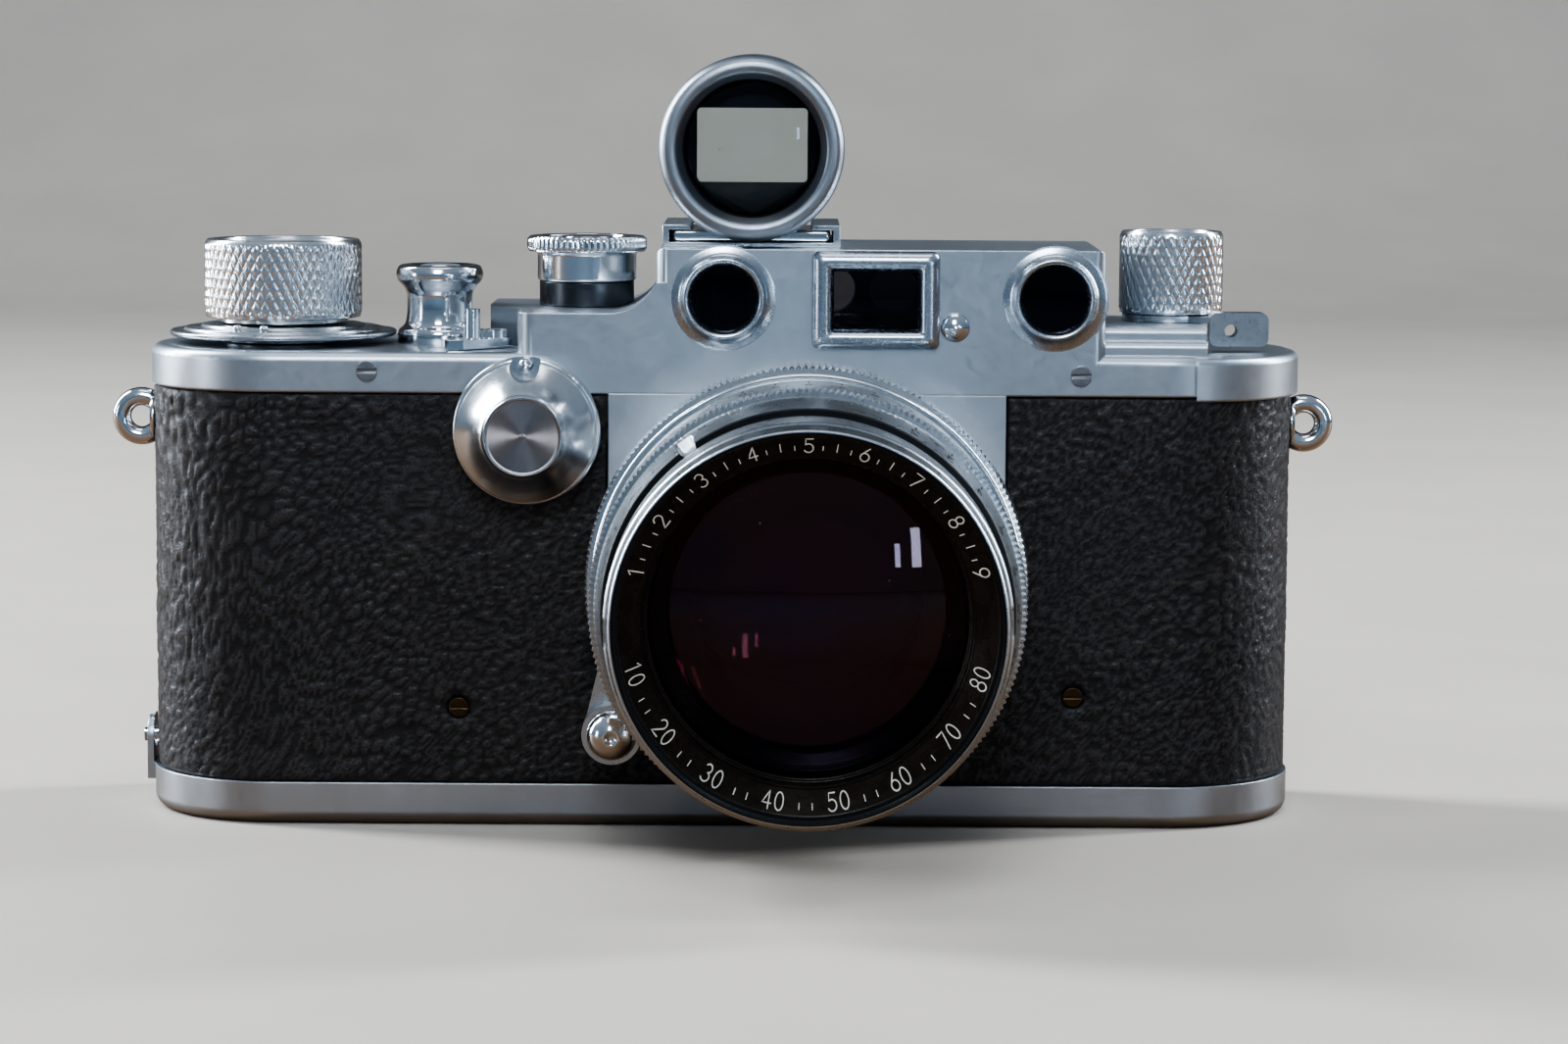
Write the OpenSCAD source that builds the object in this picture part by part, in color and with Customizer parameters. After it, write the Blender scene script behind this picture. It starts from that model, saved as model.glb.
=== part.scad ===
// Rangefinder camera with a fast screw-mount lens and a round accessory finder.
// Millimetres. X runs along the body, Y from the front (negative) to the back,
// Z up. The origin is the middle of the base plate's underside.

/* [Body] */
// Half length of the covered body
body_half_length = 67.5; // [60:0.1:75]
// Half depth of the covered body
body_half_depth = 15.5; // [14:0.1:18]
// Overhang of the top cover and base plate past the covering
lip = 0.4; // [0.2:0.05:1]
// Height of the base plate
base_height = 5; // [4:0.1:8]
// Height of the covering's top edge
cover_z = 50.6; // [45:0.1:56]
// Height of the low deck
deck_z = 55.4; // [52:0.1:60]
// Height of the speed dial's platform
platform_z = 60; // [58:0.1:63]
// Height of the rangefinder housing
housing_z = 67.5; // [64:0.1:72]

/* [Lens] */
// Lens axis along the body
lens_x = 10; // [5:0.1:15]
// Lens axis height
lens_z = 31; // [28:0.1:34]
// Distance of the mount's face in front of the body's middle
flange_h = 20.8; // [18:0.1:24]
// Radius of the screw mount's bore
mount_r = 19.5; // [19:0.05:20]
// Distance of the front rim in front of the body's middle
rim_h = 71.6; // [65:0.1:75]
// Outer radius of the front rim
rim_r = 21.4; // [20:0.05:24]
// Teeth round each milled grip
grip_teeth = 150; // [90:2:180]
// Blades of the iris
blade_count = 5; // [5:1:5]

/* [Controls] */
// Wind knob radius
wind_r = 9.3; // [8:0.1:11]
// Wind knob axis along the body
wind_x = -52.3; // [-55:0.1:-48]
// Release axis along the body
release_x = -33.7; // [-38:0.1:-30]
// Speed dial axis along the body
speed_x = -16.2; // [-20:0.1:-12]
// Rewind knob axis along the body
rewind_x = 53.2; // [48:0.1:56]
// Slow dial axis along the body
slow_x = -22.4; // [-26:0.1:-20]
// Slow dial axis height
slow_z = 46.45; // [42:0.05:48]
// Slow dial radius
slow_r = 8.6; // [7:0.1:10]

/* [Accessory finder] */
// Finder axis along the body
finder_x = 3.4; // [0:0.1:10]
// Finder axis height
finder_z = 79; // [77:0.1:82]
// Finder barrel radius
finder_r = 10.75; // [9:0.05:12]

/* [Hidden] */
$fn = 96;
run = 0.05;
shell_hl = body_half_length - 0.5;
shell_r = body_half_depth - 0.5;
wall = 1.5;
lip_hl = body_half_length + lip;
lip_r = body_half_depth + lip;
apron_r = 23;
key_x = 50;
bush_x = -40;
window_l = [0.3, 61.8];
window_r = [38.5, 61.9];
eye_a = [13, 61.5];
eye_b = [20.5, 61.5];
finder_front = 16;
blade_pivot_r = 16.4;
chrome = [0.72, 0.75, 0.78];
bright = [0.85, 0.87, 0.9];
black = [0.07, 0.07, 0.07];
steel = [0.5, 0.5, 0.52];
brass = [0.72, 0.58, 0.32];
clear = [0.2, 0.22, 0.3, 0.5];

// ---- helpers ----------------------------------------------------------------

module stadium(hl, r) {
    square([2 * (hl - r), 2 * r], center = true);
    for (s = [-1, 1]) translate([s * (hl - r), 0]) circle(r);
}

// Half of a slab's cross section, rounded along its top and bottom edges.
module half_section(r, h, rt, rb) {
    translate([0, rb]) square([r, h - rt - rb]);
    if (rt > 0) {
        translate([0, h - rt]) square([r - rt, rt]);
        translate([r - rt, h - rt]) circle(rt);
    }
    if (rb > 0) {
        square([r - rb, rb]);
        translate([r - rb, rb]) circle(rb);
    }
}

// Stadium-shaped slab with rounded edges.
module slab(hl, r, z0, h, rt = 0, rb = 0) {
    translate([0, 0, z0]) {
        rotate([90, 0, 90]) linear_extrude(2 * (hl - r), center = true) {
            half_section(r, h, rt, rb);
            mirror([1, 0]) half_section(r, h, rt, rb);
        }
        for (s = [-1, 1]) translate([s * (hl - r), 0, 0])
            rotate_extrude() half_section(r, h, rt, rb);
    }
}

module stadium_block(hl, r, z0, z1) {
    translate([0, 0, z0]) linear_extrude(z1 - z0) stadium(hl, r);
}

// Upright cylinder between two heights.
module post(x, y, r, z0, z1) {
    translate([x, y, z0]) cylinder(r = r, h = z1 - z0);
}

module block(x0, x1, y0, y1, z0, z1) {
    translate([x0, y0, z0]) cube([x1 - x0, y1 - y0, z1 - z0]);
}

// Local Z points out of the camera's front; local X and Y are the row's X and Z.
module facing(x, z, h = 0) {
    translate([x, -h, z]) rotate([90, 0, 0]) children();
}

module on_lens(h = 0) {
    facing(lens_x, lens_z, h) children();
}

// Cylinder along the lens direction between two distances in front of the middle.
module bar(x, z, r, h0, h1) {
    facing(x, z, h0) cylinder(r = r, h = h1 - h0);
}

// Ring about the lens axis.
module lens_ring(r0, r1, h0, h1) {
    on_lens(h0) linear_extrude(h1 - h0) difference() {
        circle(r1);
        circle(r0);
    }
}

module tube(r0, r1, z0, z1) {
    translate([0, 0, z0]) linear_extrude(z1 - z0) difference() {
        circle(r1);
        circle(r0);
    }
}

// Shape in the XZ plane, given depth between y0 and y1.
module upright(y0, y1) {
    translate([0, y1, 0]) rotate([90, 0, 0]) linear_extrude(y1 - y0) children();
}

module rounded_rect(x0, x1, y0, y1, r) {
    translate([x0 + r, y0]) square([x1 - x0 - 2 * r, y1 - y0]);
    translate([x0, y0 + r]) square([x1 - x0, y1 - y0 - 2 * r]);
    for (x = [x0 + r, x1 - r], y = [y0 + r, y1 - r]) translate([x, y]) circle(r);
}

// Milled edge: an even run of V-shaped teeth.
function toothed(n, r0, r1) =
    [for (i = [0 : 2 * n - 1]) let (a = i * 180 / n, r = i % 2 == 0 ? r1 : r0) [r * cos(a), r * sin(a)]];

module milled(n, r0, r1, z0, z1) {
    translate([0, 0, z0]) linear_extrude(z1 - z0) polygon(toothed(n, r0, r1));
}

// Slotted cheese-head screw with its head at the origin, facing local +Z.
module screw(head_r, head_h, shank_r, shank_l, slot) {
    difference() {
        cylinder(r = head_r, h = head_h);
        translate([-head_r - 1, -slot / 2, head_h * 0.5]) cube([2 * head_r + 2, slot, head_h]);
    }
    translate([0, 0, -shank_l]) cylinder(r = shank_r, h = shank_l);
}

// ---- body -------------------------------------------------------------------

module apron_shape(grow) {
    w = apron_r + grow;
    translate([lens_x - w, lens_z]) square([2 * w, cover_z - lens_z + 0.1]);
    translate([lens_x, lens_z]) circle(w);
}

module body_shell() {
    color(black) difference() {
        union() {
            stadium_block(shell_hl, shell_r, base_height + 0.05, cover_z);
            stadium_block(shell_hl - 0.2, shell_r - 0.2, 1.3, base_height + 0.05);
        }
        stadium_block(shell_hl - wall, shell_r - wall, 1, cover_z + 1);
        bar(lens_x, lens_z, 20.5, 5, 20);
        bar(slow_x, slow_z, 2.05, 5, 20);
        for (p = covering_screw_points) bar(p[0], p[1], 0.75, 5, 20);
        translate([-shell_hl - 1, 0, 8]) rotate([0, 90, 0]) cylinder(r = 0.7, h = 5);
    }
}

covering_screw_points = [[-30.4, 13.9], [41.2, 15.5]];

module body_covering() {
    color([0.09, 0.08, 0.08]) difference() {
        stadium_block(body_half_length, body_half_depth, base_height + 0.05, cover_z);
        stadium_block(shell_hl, shell_r, base_height - 1, cover_z + 1);
        upright(-lip_r - 1, -5) apron_shape(0.05);
        bar(slow_x, slow_z, 2.3, 5, 20);
        for (p = covering_screw_points) bar(p[0], p[1], 1.2, 5, 20);
        translate([-body_half_length - 1, 0, 8]) rotate([0, 90, 0]) cylinder(r = 1.3, h = 5);
    }
}

module covering_screws() {
    color(brass) for (p = covering_screw_points)
        facing(p[0], p[1], shell_r) screw(1.1, 0.45, 0.7, 1.4, 0.35);
}

// Outline, seen from the front, of the platform and its curve up to the housing.
module platform_shape(d) {
    r = 6.155 + d;
    translate([-28, deck_z - 1.6]) square([27 , platform_z - deck_z + 1.6 - d]);
    difference() {
        translate([-13.1, platform_z - d - 0.5]) square([12.1, 4.1]);
        translate([-13.1, platform_z + 6.155]) circle(r);
    }
}

module platform_plan(d) {
    hull_y = 11 - d;
    polygon([
        [-21.6 + d, -lip_r + d], [0, -lip_r + d], [0, hull_y], [-27.6 + d, hull_y],
        [-27.6 + d, -1 + d / 2], [-23.6 + d, -7 + d / 2], [-23.6 + d, -lip_r + 2 + d]
    ]);
    translate([-21.6 + d, -lip_r + 2 + d]) circle(2);
}

module housing_shape(d) {
    rounded_rect(-7.5 + d, 44.4 - d, deck_z - 3, housing_z - d, 0.9);
}

module housing_plan(d) {
    rounded_rect(-7.5 + d, 44.4 - d, -lip_r + d, 9 - d, 1.3);
}

module cut_to_plan(z0, z1) {
    translate([0, 0, z0]) linear_extrude(z1 - z0) children();
}

module housing_block(d) {
    intersection() {
        upright(-lip_r + d, 11 - d) platform_shape(d);
        cut_to_plan(deck_z - 3, housing_z + 1) platform_plan(d);
    }
    intersection() {
        upright(-lip_r + d, 9 - d) housing_shape(d);
        cut_to_plan(deck_z - 1.6, housing_z + 1) housing_plan(d);
    }
}

// Long step with a rounded front edge, right of the housing.
module long_step(x0, x1, front, z1, r) {
    translate([x0, 0, 0]) rotate([90, 0, 90]) linear_extrude(x1 - x0) {
        translate([front, deck_z - 1]) square([8 - front, z1 - r - deck_z + 1]);
        translate([front + r, z1 - r]) square([8 - front - r, r]);
        translate([front + r, z1 - r]) circle(r);
    }
}

module end_boss() {
    intersection() {
        difference() {
            slab(lip_hl + 0.5, lip_r + 0.5, cover_z - 0.5, 5.1, 1, 0.3);
            stadium_block(body_half_length + 0.05, body_half_depth + 0.05, cover_z - 1, cover_z);
            stadium_block(lip_hl - 1, lip_r - 1, cover_z - 1, deck_z + 1);
        }
        block(55, 80, -30, 9, 40, 60);
    }
}

module cover_holes() {
    post(wind_x, 0, 3.05, 50, 60);
    post(release_x, 0, 3.05, 50, 60);
    post(-27.2, -7.5, 1.05, 50, 60);
    post(speed_x, 0, 2.05, 50, 62);
    post(rewind_x, 0, 2.05, 50, 62);
    for (p = [window_l, window_r]) bar(p[0], p[1], 4.35, 10, 20);
    upright(-20, -10) translate([12.9, 58.2]) square([9.9, 7]);
    for (p = [[-40.9, 53.2], [41.6, 53.1]]) bar(p[0], p[1], 0.75, 10, 20);
    bar(27, 58.6, 0.85, 10, 20);
    for (p = [eye_a, eye_b]) bar(p[0], p[1], 2.85, -12, -5);
}

module top_cover() {
    color(chrome) difference() {
        union() {
            slab(lip_hl, lip_r, cover_z, deck_z - cover_z, 1.2, 0.3);
            housing_block(0);
            long_step(44, 56.3, -13.2, 58.6, 0.8);
            long_step(44, 56.3, -14.9, 57, 0.8);
            end_boss();
            upright(-lip_r, -shell_r) apron_shape(0);
        }
        bar(lens_x, lens_z, 20.5, 10, 20);
        post(speed_x, 0, 5.7, platform_z, 68);
        stadium_block(lip_hl - 1.2, lip_r - 1.2, cover_z - 0.01, deck_z - 1.2);
        intersection() {
            housing_block(1.2);
            stadium_block(lip_hl - 1.2, lip_r - 1.2, 40, 80);
        }
        cover_holes();
    }
}

module cover_screws() {
    color(steel) for (p = [[-40.9, 53.2], [41.6, 53.1]])
        facing(p[0], p[1], lip_r) screw(1.2, 0.45, 0.7, 1.1, 0.4);
}

module adjuster_cap() {
    color(bright) facing(27, 58.6, lip_r) {
        rotate_extrude() intersection() {
            translate([0, -1.35]) circle(2.2);
            square([1.7, 2]);
        }
        translate([0, 0, -1.1]) cylinder(r = 0.8, h = 1.2);
    }
}

module lens_mount() {
    color(bright) {
        lens_ring(mount_r, 22.7, lip_r, 18.2);
        lens_ring(mount_r, 21.6, 18.2, flange_h);
        lens_ring(mount_r, 20.4, 13.6, lip_r);
    }
}

// Fixed loops at the ends of the body.
module strap_lugs() {
    color(bright) for (s = [-1, 1]) difference() {
        union() {
            translate([s * 69.3, 0, 46.4]) rotate([90, 0, 0])
                rotate_extrude() translate([2.35, 0]) circle(1.1);
            translate([s * 67.2, 0, 46.4]) rotate([0, s * 90, 0]) cylinder(r = 2.6, h = 0.8);
        }
        stadium_block(body_half_length, body_half_depth, 40, 52);
    }
}

module base_stud() {
    color(bright) translate([-shell_hl, 0, 8]) rotate([0, -90, 0]) {
        cylinder(r = 1.2, h = 0.5);
        cylinder(r = 0.8, h = 2.3);
        translate([0, 0, -1]) cylinder(r = 0.7, h = 1);
    }
}

module rf_windows() {
    color(clear) for (p = [window_l, window_r]) bar(p[0], p[1], 4.3, 14.5, 15.3);
}

// Flared collar round each rangefinder window.
module window_collar() {
    rotate_extrude() difference() {
        translate([3.7, -0.6]) square([1.7, 1.7]);
        translate([5.4, 1.3]) circle(1.3);
        translate([4.3, -1]) square([3, 1]);
    }
}

module window_collars() {
    color(bright) for (p = [window_l, window_r]) facing(p[0], p[1], lip_r) window_collar();
}

module viewfinder_bezel() {
    cx = 17.85;
    cz = 61.7;
    color(bright) translate([cx, -lip_r, cz]) rotate([90, 0, 0]) difference() {
        union() {
            linear_extrude(0.5) square([14.8, 11.4], center = true);
            linear_extrude(1.4) square([12.4, 9.4], center = true);
        }
        translate([0, 0, -1]) linear_extrude(4) square([9.7, 6.6], center = true);
    }
}

module viewfinder_glass() {
    color(clear) upright(-15.5, -14.7) translate([12.95, 58.25]) square([9.8, 6.9]);
}

module accessory_shoe() {
    z = housing_z;
    color(bright) difference() {
        block(finder_x - 10.3, finder_x + 10.3, -12, 7, z, z + 2.6);
        block(finder_x - 9.5, finder_x + 9.5, -13, 8, z + 0.6, z + 2);
        block(finder_x - 7, finder_x + 7, -13, 8, z + 0.6, z + 3);
    }
}

module release_collar() {
    color(bright) translate([release_x, 0, deck_z]) rotate_extrude() difference() {
        union() {
            translate([3.05, 0]) square([1.95, 1.6]);
            translate([3.05, 1.6]) square([1.35, 0.8]);
            translate([4.2, 1.6]) circle(0.8);
            translate([3.05, 2.4]) square([0.85, 4.6]);
            translate([3.9, 8.05]) circle(1.3);
            translate([3.05, 7]) square([1.3, 1.4]);
        }
        square([3.05, 12]);
    }
}

module shutter_crate() {
    color(steel) difference() {
        union() {
            block(-40, 40, -11.5, 8, 6.2, 7.4);
            block(-40, 40, -11.5, 8, 46, 47.2);
            block(-9.5, 29.5, -11.5, -10.5, 7.4, 46);
            block(-9.5, 29.5, 6.9, 8, 7.4, 46);
            block(-9.5, -8.5, -10.5, 5.2, 7.4, 46);
            block(28.5, 29.5, -10.5, 5.2, 7.4, 46);
        }
        bar(lens_x, lens_z, 13, 5, 20);
        block(lens_x - 18, lens_x + 18, 5, 10, lens_z - 12, lens_z + 12);
        post(release_x, 0, 1.55, 5, 50);
        post(speed_x, 0, 2.05, 5, 50);
    }
}

module shutter_curtains() {
    color(black) {
        block(speed_x, 35, 6.55, 6.75, 18, 44);
        difference() {
            post(35, 3.2, 3.55, 8, 45.5);
            block(30, 40, 6.5, 8, 17.5, 44.5);
        }
    }
}

module pressure_plate() {
    color(black) {
        block(lens_x - 22, lens_x + 22, 8.3, 9.2, lens_z - 14, lens_z + 14);
        for (x = [lens_x - 14, lens_x + 14]) bar(x, lens_z, 1.5, -13.5, -9.2);
    }
}

module eyepiece_block() {
    color(bright) difference() {
        upright(9, 12.5) rounded_rect(8, 25.5, 57.3, 65.7, 3.8);
        for (p = [eye_a, eye_b]) bar(p[0], p[1], 2.85, -13, -8);
    }
}

// ---- controls ---------------------------------------------------------------

module wind_knob() {
    color(bright) translate([wind_x, 0, 0]) difference() {
        union() {
            translate([0, 0, 58.4]) rotate_extrude() half_section(wind_r, 9.2, 0.5, 0.5);
            tube(3, 7.6, 57.85, 58.4);
        }
        post(0, 0, 8, 67.1, 68);
        post(0, 0, 3, 57, 63);
    }
}

module wind_shaft() {
    color(steel) translate([wind_x, 0, 0]) {
        post(0, 0, 3, 50, 62.9);
        post(0, 0, 2.5, 40, 50);
    }
}

module counter_dial() {
    color(chrome) translate([wind_x, 0, 0]) difference() {
        union() {
            tube(3.4, 13.4, 56.2, 56.9);
            tube(3.4, 11.6, 56.9, 57.25);
            tube(3.4, 9.6, 57.25, 57.6);
            tube(3.4, 7, deck_z + 0.1, 56.2);
            for (x = [-4.2, -1]) post(x, sqrt(123 - x * x) * -1, 0.55, 56.9, 58);
        }
    }
}

module take_up_spool() {
    color(black) translate([wind_x, 0, 0]) {
        tube(2.55, 5, 9, 46);
        tube(2.55, 11, 7.5, 9);
        tube(2.55, 11, 46, 47.2);
    }
}

module sprocket_shaft() {
    color(steel) translate([release_x, 0, 0]) {
        post(0, 0, 1.5, 6.5, 49.5);
        for (z = [12.5, 41]) {
            milled(8, 4.6, 6, z, z + 1.5);
        }
        post(0, 0, 4.6, 10, 44);
    }
}

module shutter_drum() {
    color(steel) translate([speed_x, 0, 0]) {
        post(0, 0, 2, 6.5, 60);
        post(0, 0, 6.5, 10, 45);
        post(0, 0, 1.2, 60, 66);
    }
}

module speed_bush() {
    color(steel) translate([speed_x, 0, 0]) {
        tube(1.25, 5.6, platform_z + 0.05, 62.9);
        tube(1.25, 2.2, 62.9, 67.4);
    }
}

module speed_dial() {
    color(bright) translate([speed_x, 0, 0]) difference() {
        union() {
            post(0, 0, 5.85, 62.95, 66.4);
            milled(60, 6.85, 7.1, 66.4, 68.2);
        }
        post(0, 0, 2.25, 61, 67.45);
        translate([0, 0, 68]) linear_extrude(1) difference() {
            circle(5.2);
            circle(3);
        }
    }
}

// Domed dial on the front, turned from one piece, with a pocket for its lock.
module slow_speed_dial() {
    color(bright) facing(slow_x, slow_z) difference() {
        union() {
            translate([0, 0, 16.1]) rotate_extrude() half_section(slow_r, 1.5, 0.5, 0.2);
            rotate_extrude() difference() {
                translate([0, 17]) square([8, 7.6]);
                translate([19.62, 33.2]) circle(17.4);
                translate([4.75, 24.1]) rotate(-45) square([5, 3]);
            }
            translate([0, 0, 12]) cylinder(r = 2, h = 4.2);
        }
        translate([0, 7.7, 17.1]) cylinder(r = 1.75, h = 9);
        translate([0, 7.7, 16]) cylinder(r = 0.4, h = 2);
        translate([0, 0, 24.4]) cylinder(r = 4.4, h = 1);
    }
}

module slow_dial_button() {
    color(bright) facing(slow_x, slow_z) translate([0, 7.7, 0]) {
        translate([0, 0, 16.65]) cylinder(r = 0.35, h = 1);
        translate([0, 0, 17.6]) rotate_extrude() {
            intersection() {
                translate([0, 0.5]) circle(0.85);
                square([1, 2]);
            }
        }
    }
}

module release_button() {
    color(bright) translate([release_x, 0, 0]) {
        post(0, 0, 3, 52.5, 63.6);
        translate([0, 0, 63.6]) rotate_extrude() intersection() {
            translate([0, -8.6]) circle(9.1);
            square([3, 2]);
        }
    }
}

module rewind_lever() {
    hub = [-27.2, -7.5];
    tip = [-30.9, -12.7];
    color(bright) difference() {
        union() {
            translate([0, 0, deck_z + 0.1]) linear_extrude(1.1) {
                translate(hub) circle(2.5);
                polygon([[-29.5, -6.6], [-26, -9.6], [-29.9, -13.6], [-31.7, -13.8], [-32.2, -12.2]]);
            }
            post(hub[0], hub[1], 1.9, 56.5, 57.5);
            post(-29.2, -9.4, 0.95, 56.5, 60);
            post(hub[0], hub[1], 1, 52, 56);
        }
        translate([hub[0] - 3, hub[1] - 0.25, 57.1]) cube([6, 0.5, 1]);
    }
}

module rewind_knob() {
    color(bright) translate([rewind_x, 0, 0]) difference() {
        translate([0, 0, 59.5]) rotate_extrude() half_section(6.15, 9.7, 0.4, 0.4);
        post(0, 0, 2.05, 59, 67);
        post(0, 0, 5.2, 68.8, 70);
    }
}

module rewind_shaft() {
    color(steel) translate([rewind_x, 0, 0]) difference() {
        union() {
            post(0, 0, 2, 46, 66.9);
            post(0, 0, 3.2, 42, 49.5);
        }
        block(-0.9, 0.9, -4, 4, 41, 46);
    }
}

module diopter_lever() {
    color(bright) difference() {
        union() {
            translate([rewind_x, 0, 0]) tube(3.3, 5.7, 58.65, 59.4);
            translate([0, 0, 58.65]) linear_extrude(0.75) difference() {
                polygon([[54.5, -5.2], [58, -8.2], [60, -5.5], [58.7, -1.5]]);
                translate([rewind_x, 0]) circle(5.7);
            }
            upright(-8.4, -5.4) rounded_rect(57.1, 64, 56.1, 60, 0.9);
        }
        translate([59.6, 0, 57.9]) rotate([90, 0, 0]) cylinder(r = 0.75, h = 9);
    }
}

module eyepiece_lens() {
    color(clear) bar(eye_b[0], eye_b[1], 2.8, -10.5, -8);
}

module rf_arm() {
    color(steel) {
        post(-4, -9, 1.4, 47.3, 66.2);
        difference() {
            block(-4, 11, -10, -8, 51, 53.2);
            post(-4, -9, 1.4, 50, 58);
        }
        block(9, 11, -10, -8, 47.9, 51);
        block(9.4, 10.6, -12.2, -10, 48.1, 49.1);
        translate([9.2, -12.4, 48.6]) rotate([0, 90, 0]) cylinder(r = 0.75, h = 1.6);
    }
}

// ---- base plate -------------------------------------------------------------

module base_plate() {
    color(chrome) difference() {
        union() {
            difference() {
                slab(lip_hl, lip_r, 0, base_height, 0, 1.6);
                stadium_block(shell_hl + 0.05, shell_r + 0.05, 1.2, 9);
            }
            post(key_x, 0, 11.2, 1.2, 2.6);
            translate([-lip_hl, 0, 8]) rotate([0, -90, 0]) cylinder(r = 2.4, h = 0.8);
            block(-lip_hl - 0.8, -lip_hl + 0.2, -2.4, 2.4, 3, 8);
            translate([-lip_hl, 0, 10.3]) rotate([90, 0, 0]) cylinder(r = 0.35, h = 2.4, center = true);
        }
        post(key_x, 0, 10, -1, 1.4);
        post(key_x, 0, 2.05, 0, 4);
        post(bush_x, 0, 7, -1, 3);
        stadium_block(shell_hl + 0.05, shell_r + 0.05, 2.61, base_height + 0.05);
        translate([-lip_hl + 0.3, 0, 8]) rotate([0, -90, 0]) cylinder(r = 1.5, h = 3);
        block(-lip_hl, -60, -5, 5, base_height, 12);
    }
}

module tripod_bush() {
    color(brass) translate([bush_x, 0, 0]) difference() {
        union() {
            post(0, 0, 7, 0, 1.2);
            post(0, 0, 8.5, 1.2, 5);
        }
        post(0, 0, 4.2, -1, 4.2);
    }
}

module base_key() {
    color(bright) translate([key_x, 0, 0]) difference() {
        union() {
            post(0, 0, 9.7, 0.15, 1.35);
            post(0, 0, 2, 1.35, 3.2);
        }
        difference() {
            post(0, 0, 8.8, 0, 1);
            post(0, 0, 6.1, -1, 2);
            block(-10, 10, 0.7, 12, -1, 2);
        }
    }
}

module base_key_flap() {
    color(steel) translate([key_x, 0, 0]) {
        difference() {
            tube(6.4, 8.5, 0.2, 0.8);
            block(-10, 10, 0, 12, -1, 2);
        }
        for (x = [-8.5, 6.4]) translate([x, 0, 0.5]) rotate([0, 90, 0]) cylinder(r = 0.3, h = 2.1);
    }
}

module locking_bolt() {
    color(steel) translate([key_x, 0, 0]) {
        block(-8, 8, -2.5, 2.5, 3.2, 4.2);
    }
}

// ---- accessory finder -------------------------------------------------------

module finder_body() {
    z = housing_z;
    color(bright) difference() {
        union() {
            facing(finder_x, finder_z, -9) rotate_extrude() half_section(finder_r, 9 + finder_front, 1, 0.8);
            bar(finder_x, finder_z, 9.3, -15, -9);
            block(finder_x - 5.2, finder_x + 5.2, -11.5, 6, z + 1.2, z + 4);
            block(finder_x - 9.2, finder_x + 9.2, -11.5, 6, z + 0.68, z + 1.9);
        }
        bar(finder_x, finder_z, 7.9, -7, finder_front + 1);
        bar(finder_x, finder_z, 8.3, -20, -7);
        facing(finder_x, finder_z, finder_front) translate([0, 0, -0.8])
            rotate_extrude() polygon([[0, 0], [7.9, 0], [8.9, 1], [0, 1]]);
    }
}

module finder_mask() {
    color(black) on_finder(4) linear_extrude(0.8) difference() {
        circle(7.9);
        rounded_rect(-6.5, 6.5, -4.2, 4.5, 0.5);
    }
}

module on_finder(h) {
    facing(finder_x, finder_z, h) children();
}

// Rounded lens between two spherical caps, centred on local Z.
module lens_blank(r, ball, edge) {
    sag = ball - sqrt(ball * ball - r * r);
    rotate_extrude() {
        square([r, edge]);
        intersection() {
            translate([0, edge + sag - ball]) circle(ball);
            translate([0, edge - 0.01]) square([r, sag + 0.5]);
        }
    }
}

module finder_front_lens() {
    color(clear) on_finder(9) lens_blank(7.9, 30, 1.2);
}

module finder_eye_lens() {
    color(clear) on_finder(-13.5) lens_blank(8.3, 30, 1.5);
}

// ---- lens -------------------------------------------------------------------

module lens_base() {
    color(chrome) {
        lens_ring(18.6, 20.6, flange_h, 38.9);
        lens_ring(18.6, 19.4, 13.9, flange_h);
        lens_ring(20.6, 22.4, flange_h, 22.6);
    }
}

module focus_ring() {
    color(chrome) on_lens() difference() {
        union() {
            tube(20, 23.2, 22.7, 30.6);
            tube(20, 23.6, 30.6, 31.4);
            milled(grip_teeth, 24.35, 24.75, 31.4, 37.6);
            tube(20, 24, 37.6, 39);
        }
        cylinder(r = 20.65, h = 60);
    }
}

lock_angle = 219;
lock_d = 28.3;

module infinity_lock() {
    color(chrome) on_lens() difference() {
        union() {
            rotate(lock_angle) translate([lock_d, 0, 25]) cylinder(r = 3.4, h = 5.4);
            translate([0, 0, 25]) linear_extrude(2.4) polygon([
                22 * [cos(lock_angle - 22), sin(lock_angle - 22)],
                26.2 * [cos(lock_angle - 14), sin(lock_angle - 14)],
                (lock_d + 2.6) * [cos(lock_angle - 4), sin(lock_angle - 4)],
                (lock_d + 2.6) * [cos(lock_angle + 4), sin(lock_angle + 4)],
                22 * [cos(lock_angle + 9), sin(lock_angle + 9)]
            ]);
        }
        cylinder(r = 23.2, h = 60);
        rotate(lock_angle) translate([lock_d, 0, 27.5]) cylinder(r = 2.85, h = 10);
    }
}

module infinity_button() {
    color(bright) on_lens() rotate(lock_angle) translate([lock_d, 0, 0]) difference() {
        union() {
            translate([0, 0, 28.5]) cylinder(r = 2.8, h = 2.4);
            translate([0, 0, 30.9]) rotate_extrude() intersection() {
                translate([0, -0.6]) circle(2.85);
                square([2.8, 4]);
            }
        }
        translate([0, 0, 33.55]) sphere(0.9);
    }
}

module front_barrel() {
    color(chrome) on_lens() difference() {
        union() {
            cylinder(r = 18.55, h = 40);
            translate([0, 0, 39.1]) cylinder(r = 23.3, h = 12.2);
            cylinder(r = 20.5, h = 61);
        }
        translate([0, 0, -1]) cylinder(r = 30, h = 14.3);
        translate([0, 0, 13.3]) difference() {
            cylinder(r = 30, h = 25.8);
            translate([0, 0, -1]) cylinder(r = 18.55, h = 30);
        }
        cylinder(r = 14.2, h = 60);
        translate([0, 0, 41]) cylinder(r = 17.4, h = 30);
        for (i = [0 : blade_count - 1]) rotate(i * 360 / blade_count)
            translate([blade_pivot_r, 0, 40.4]) cylinder(r = 0.55, h = 1);
    }
}

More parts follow.
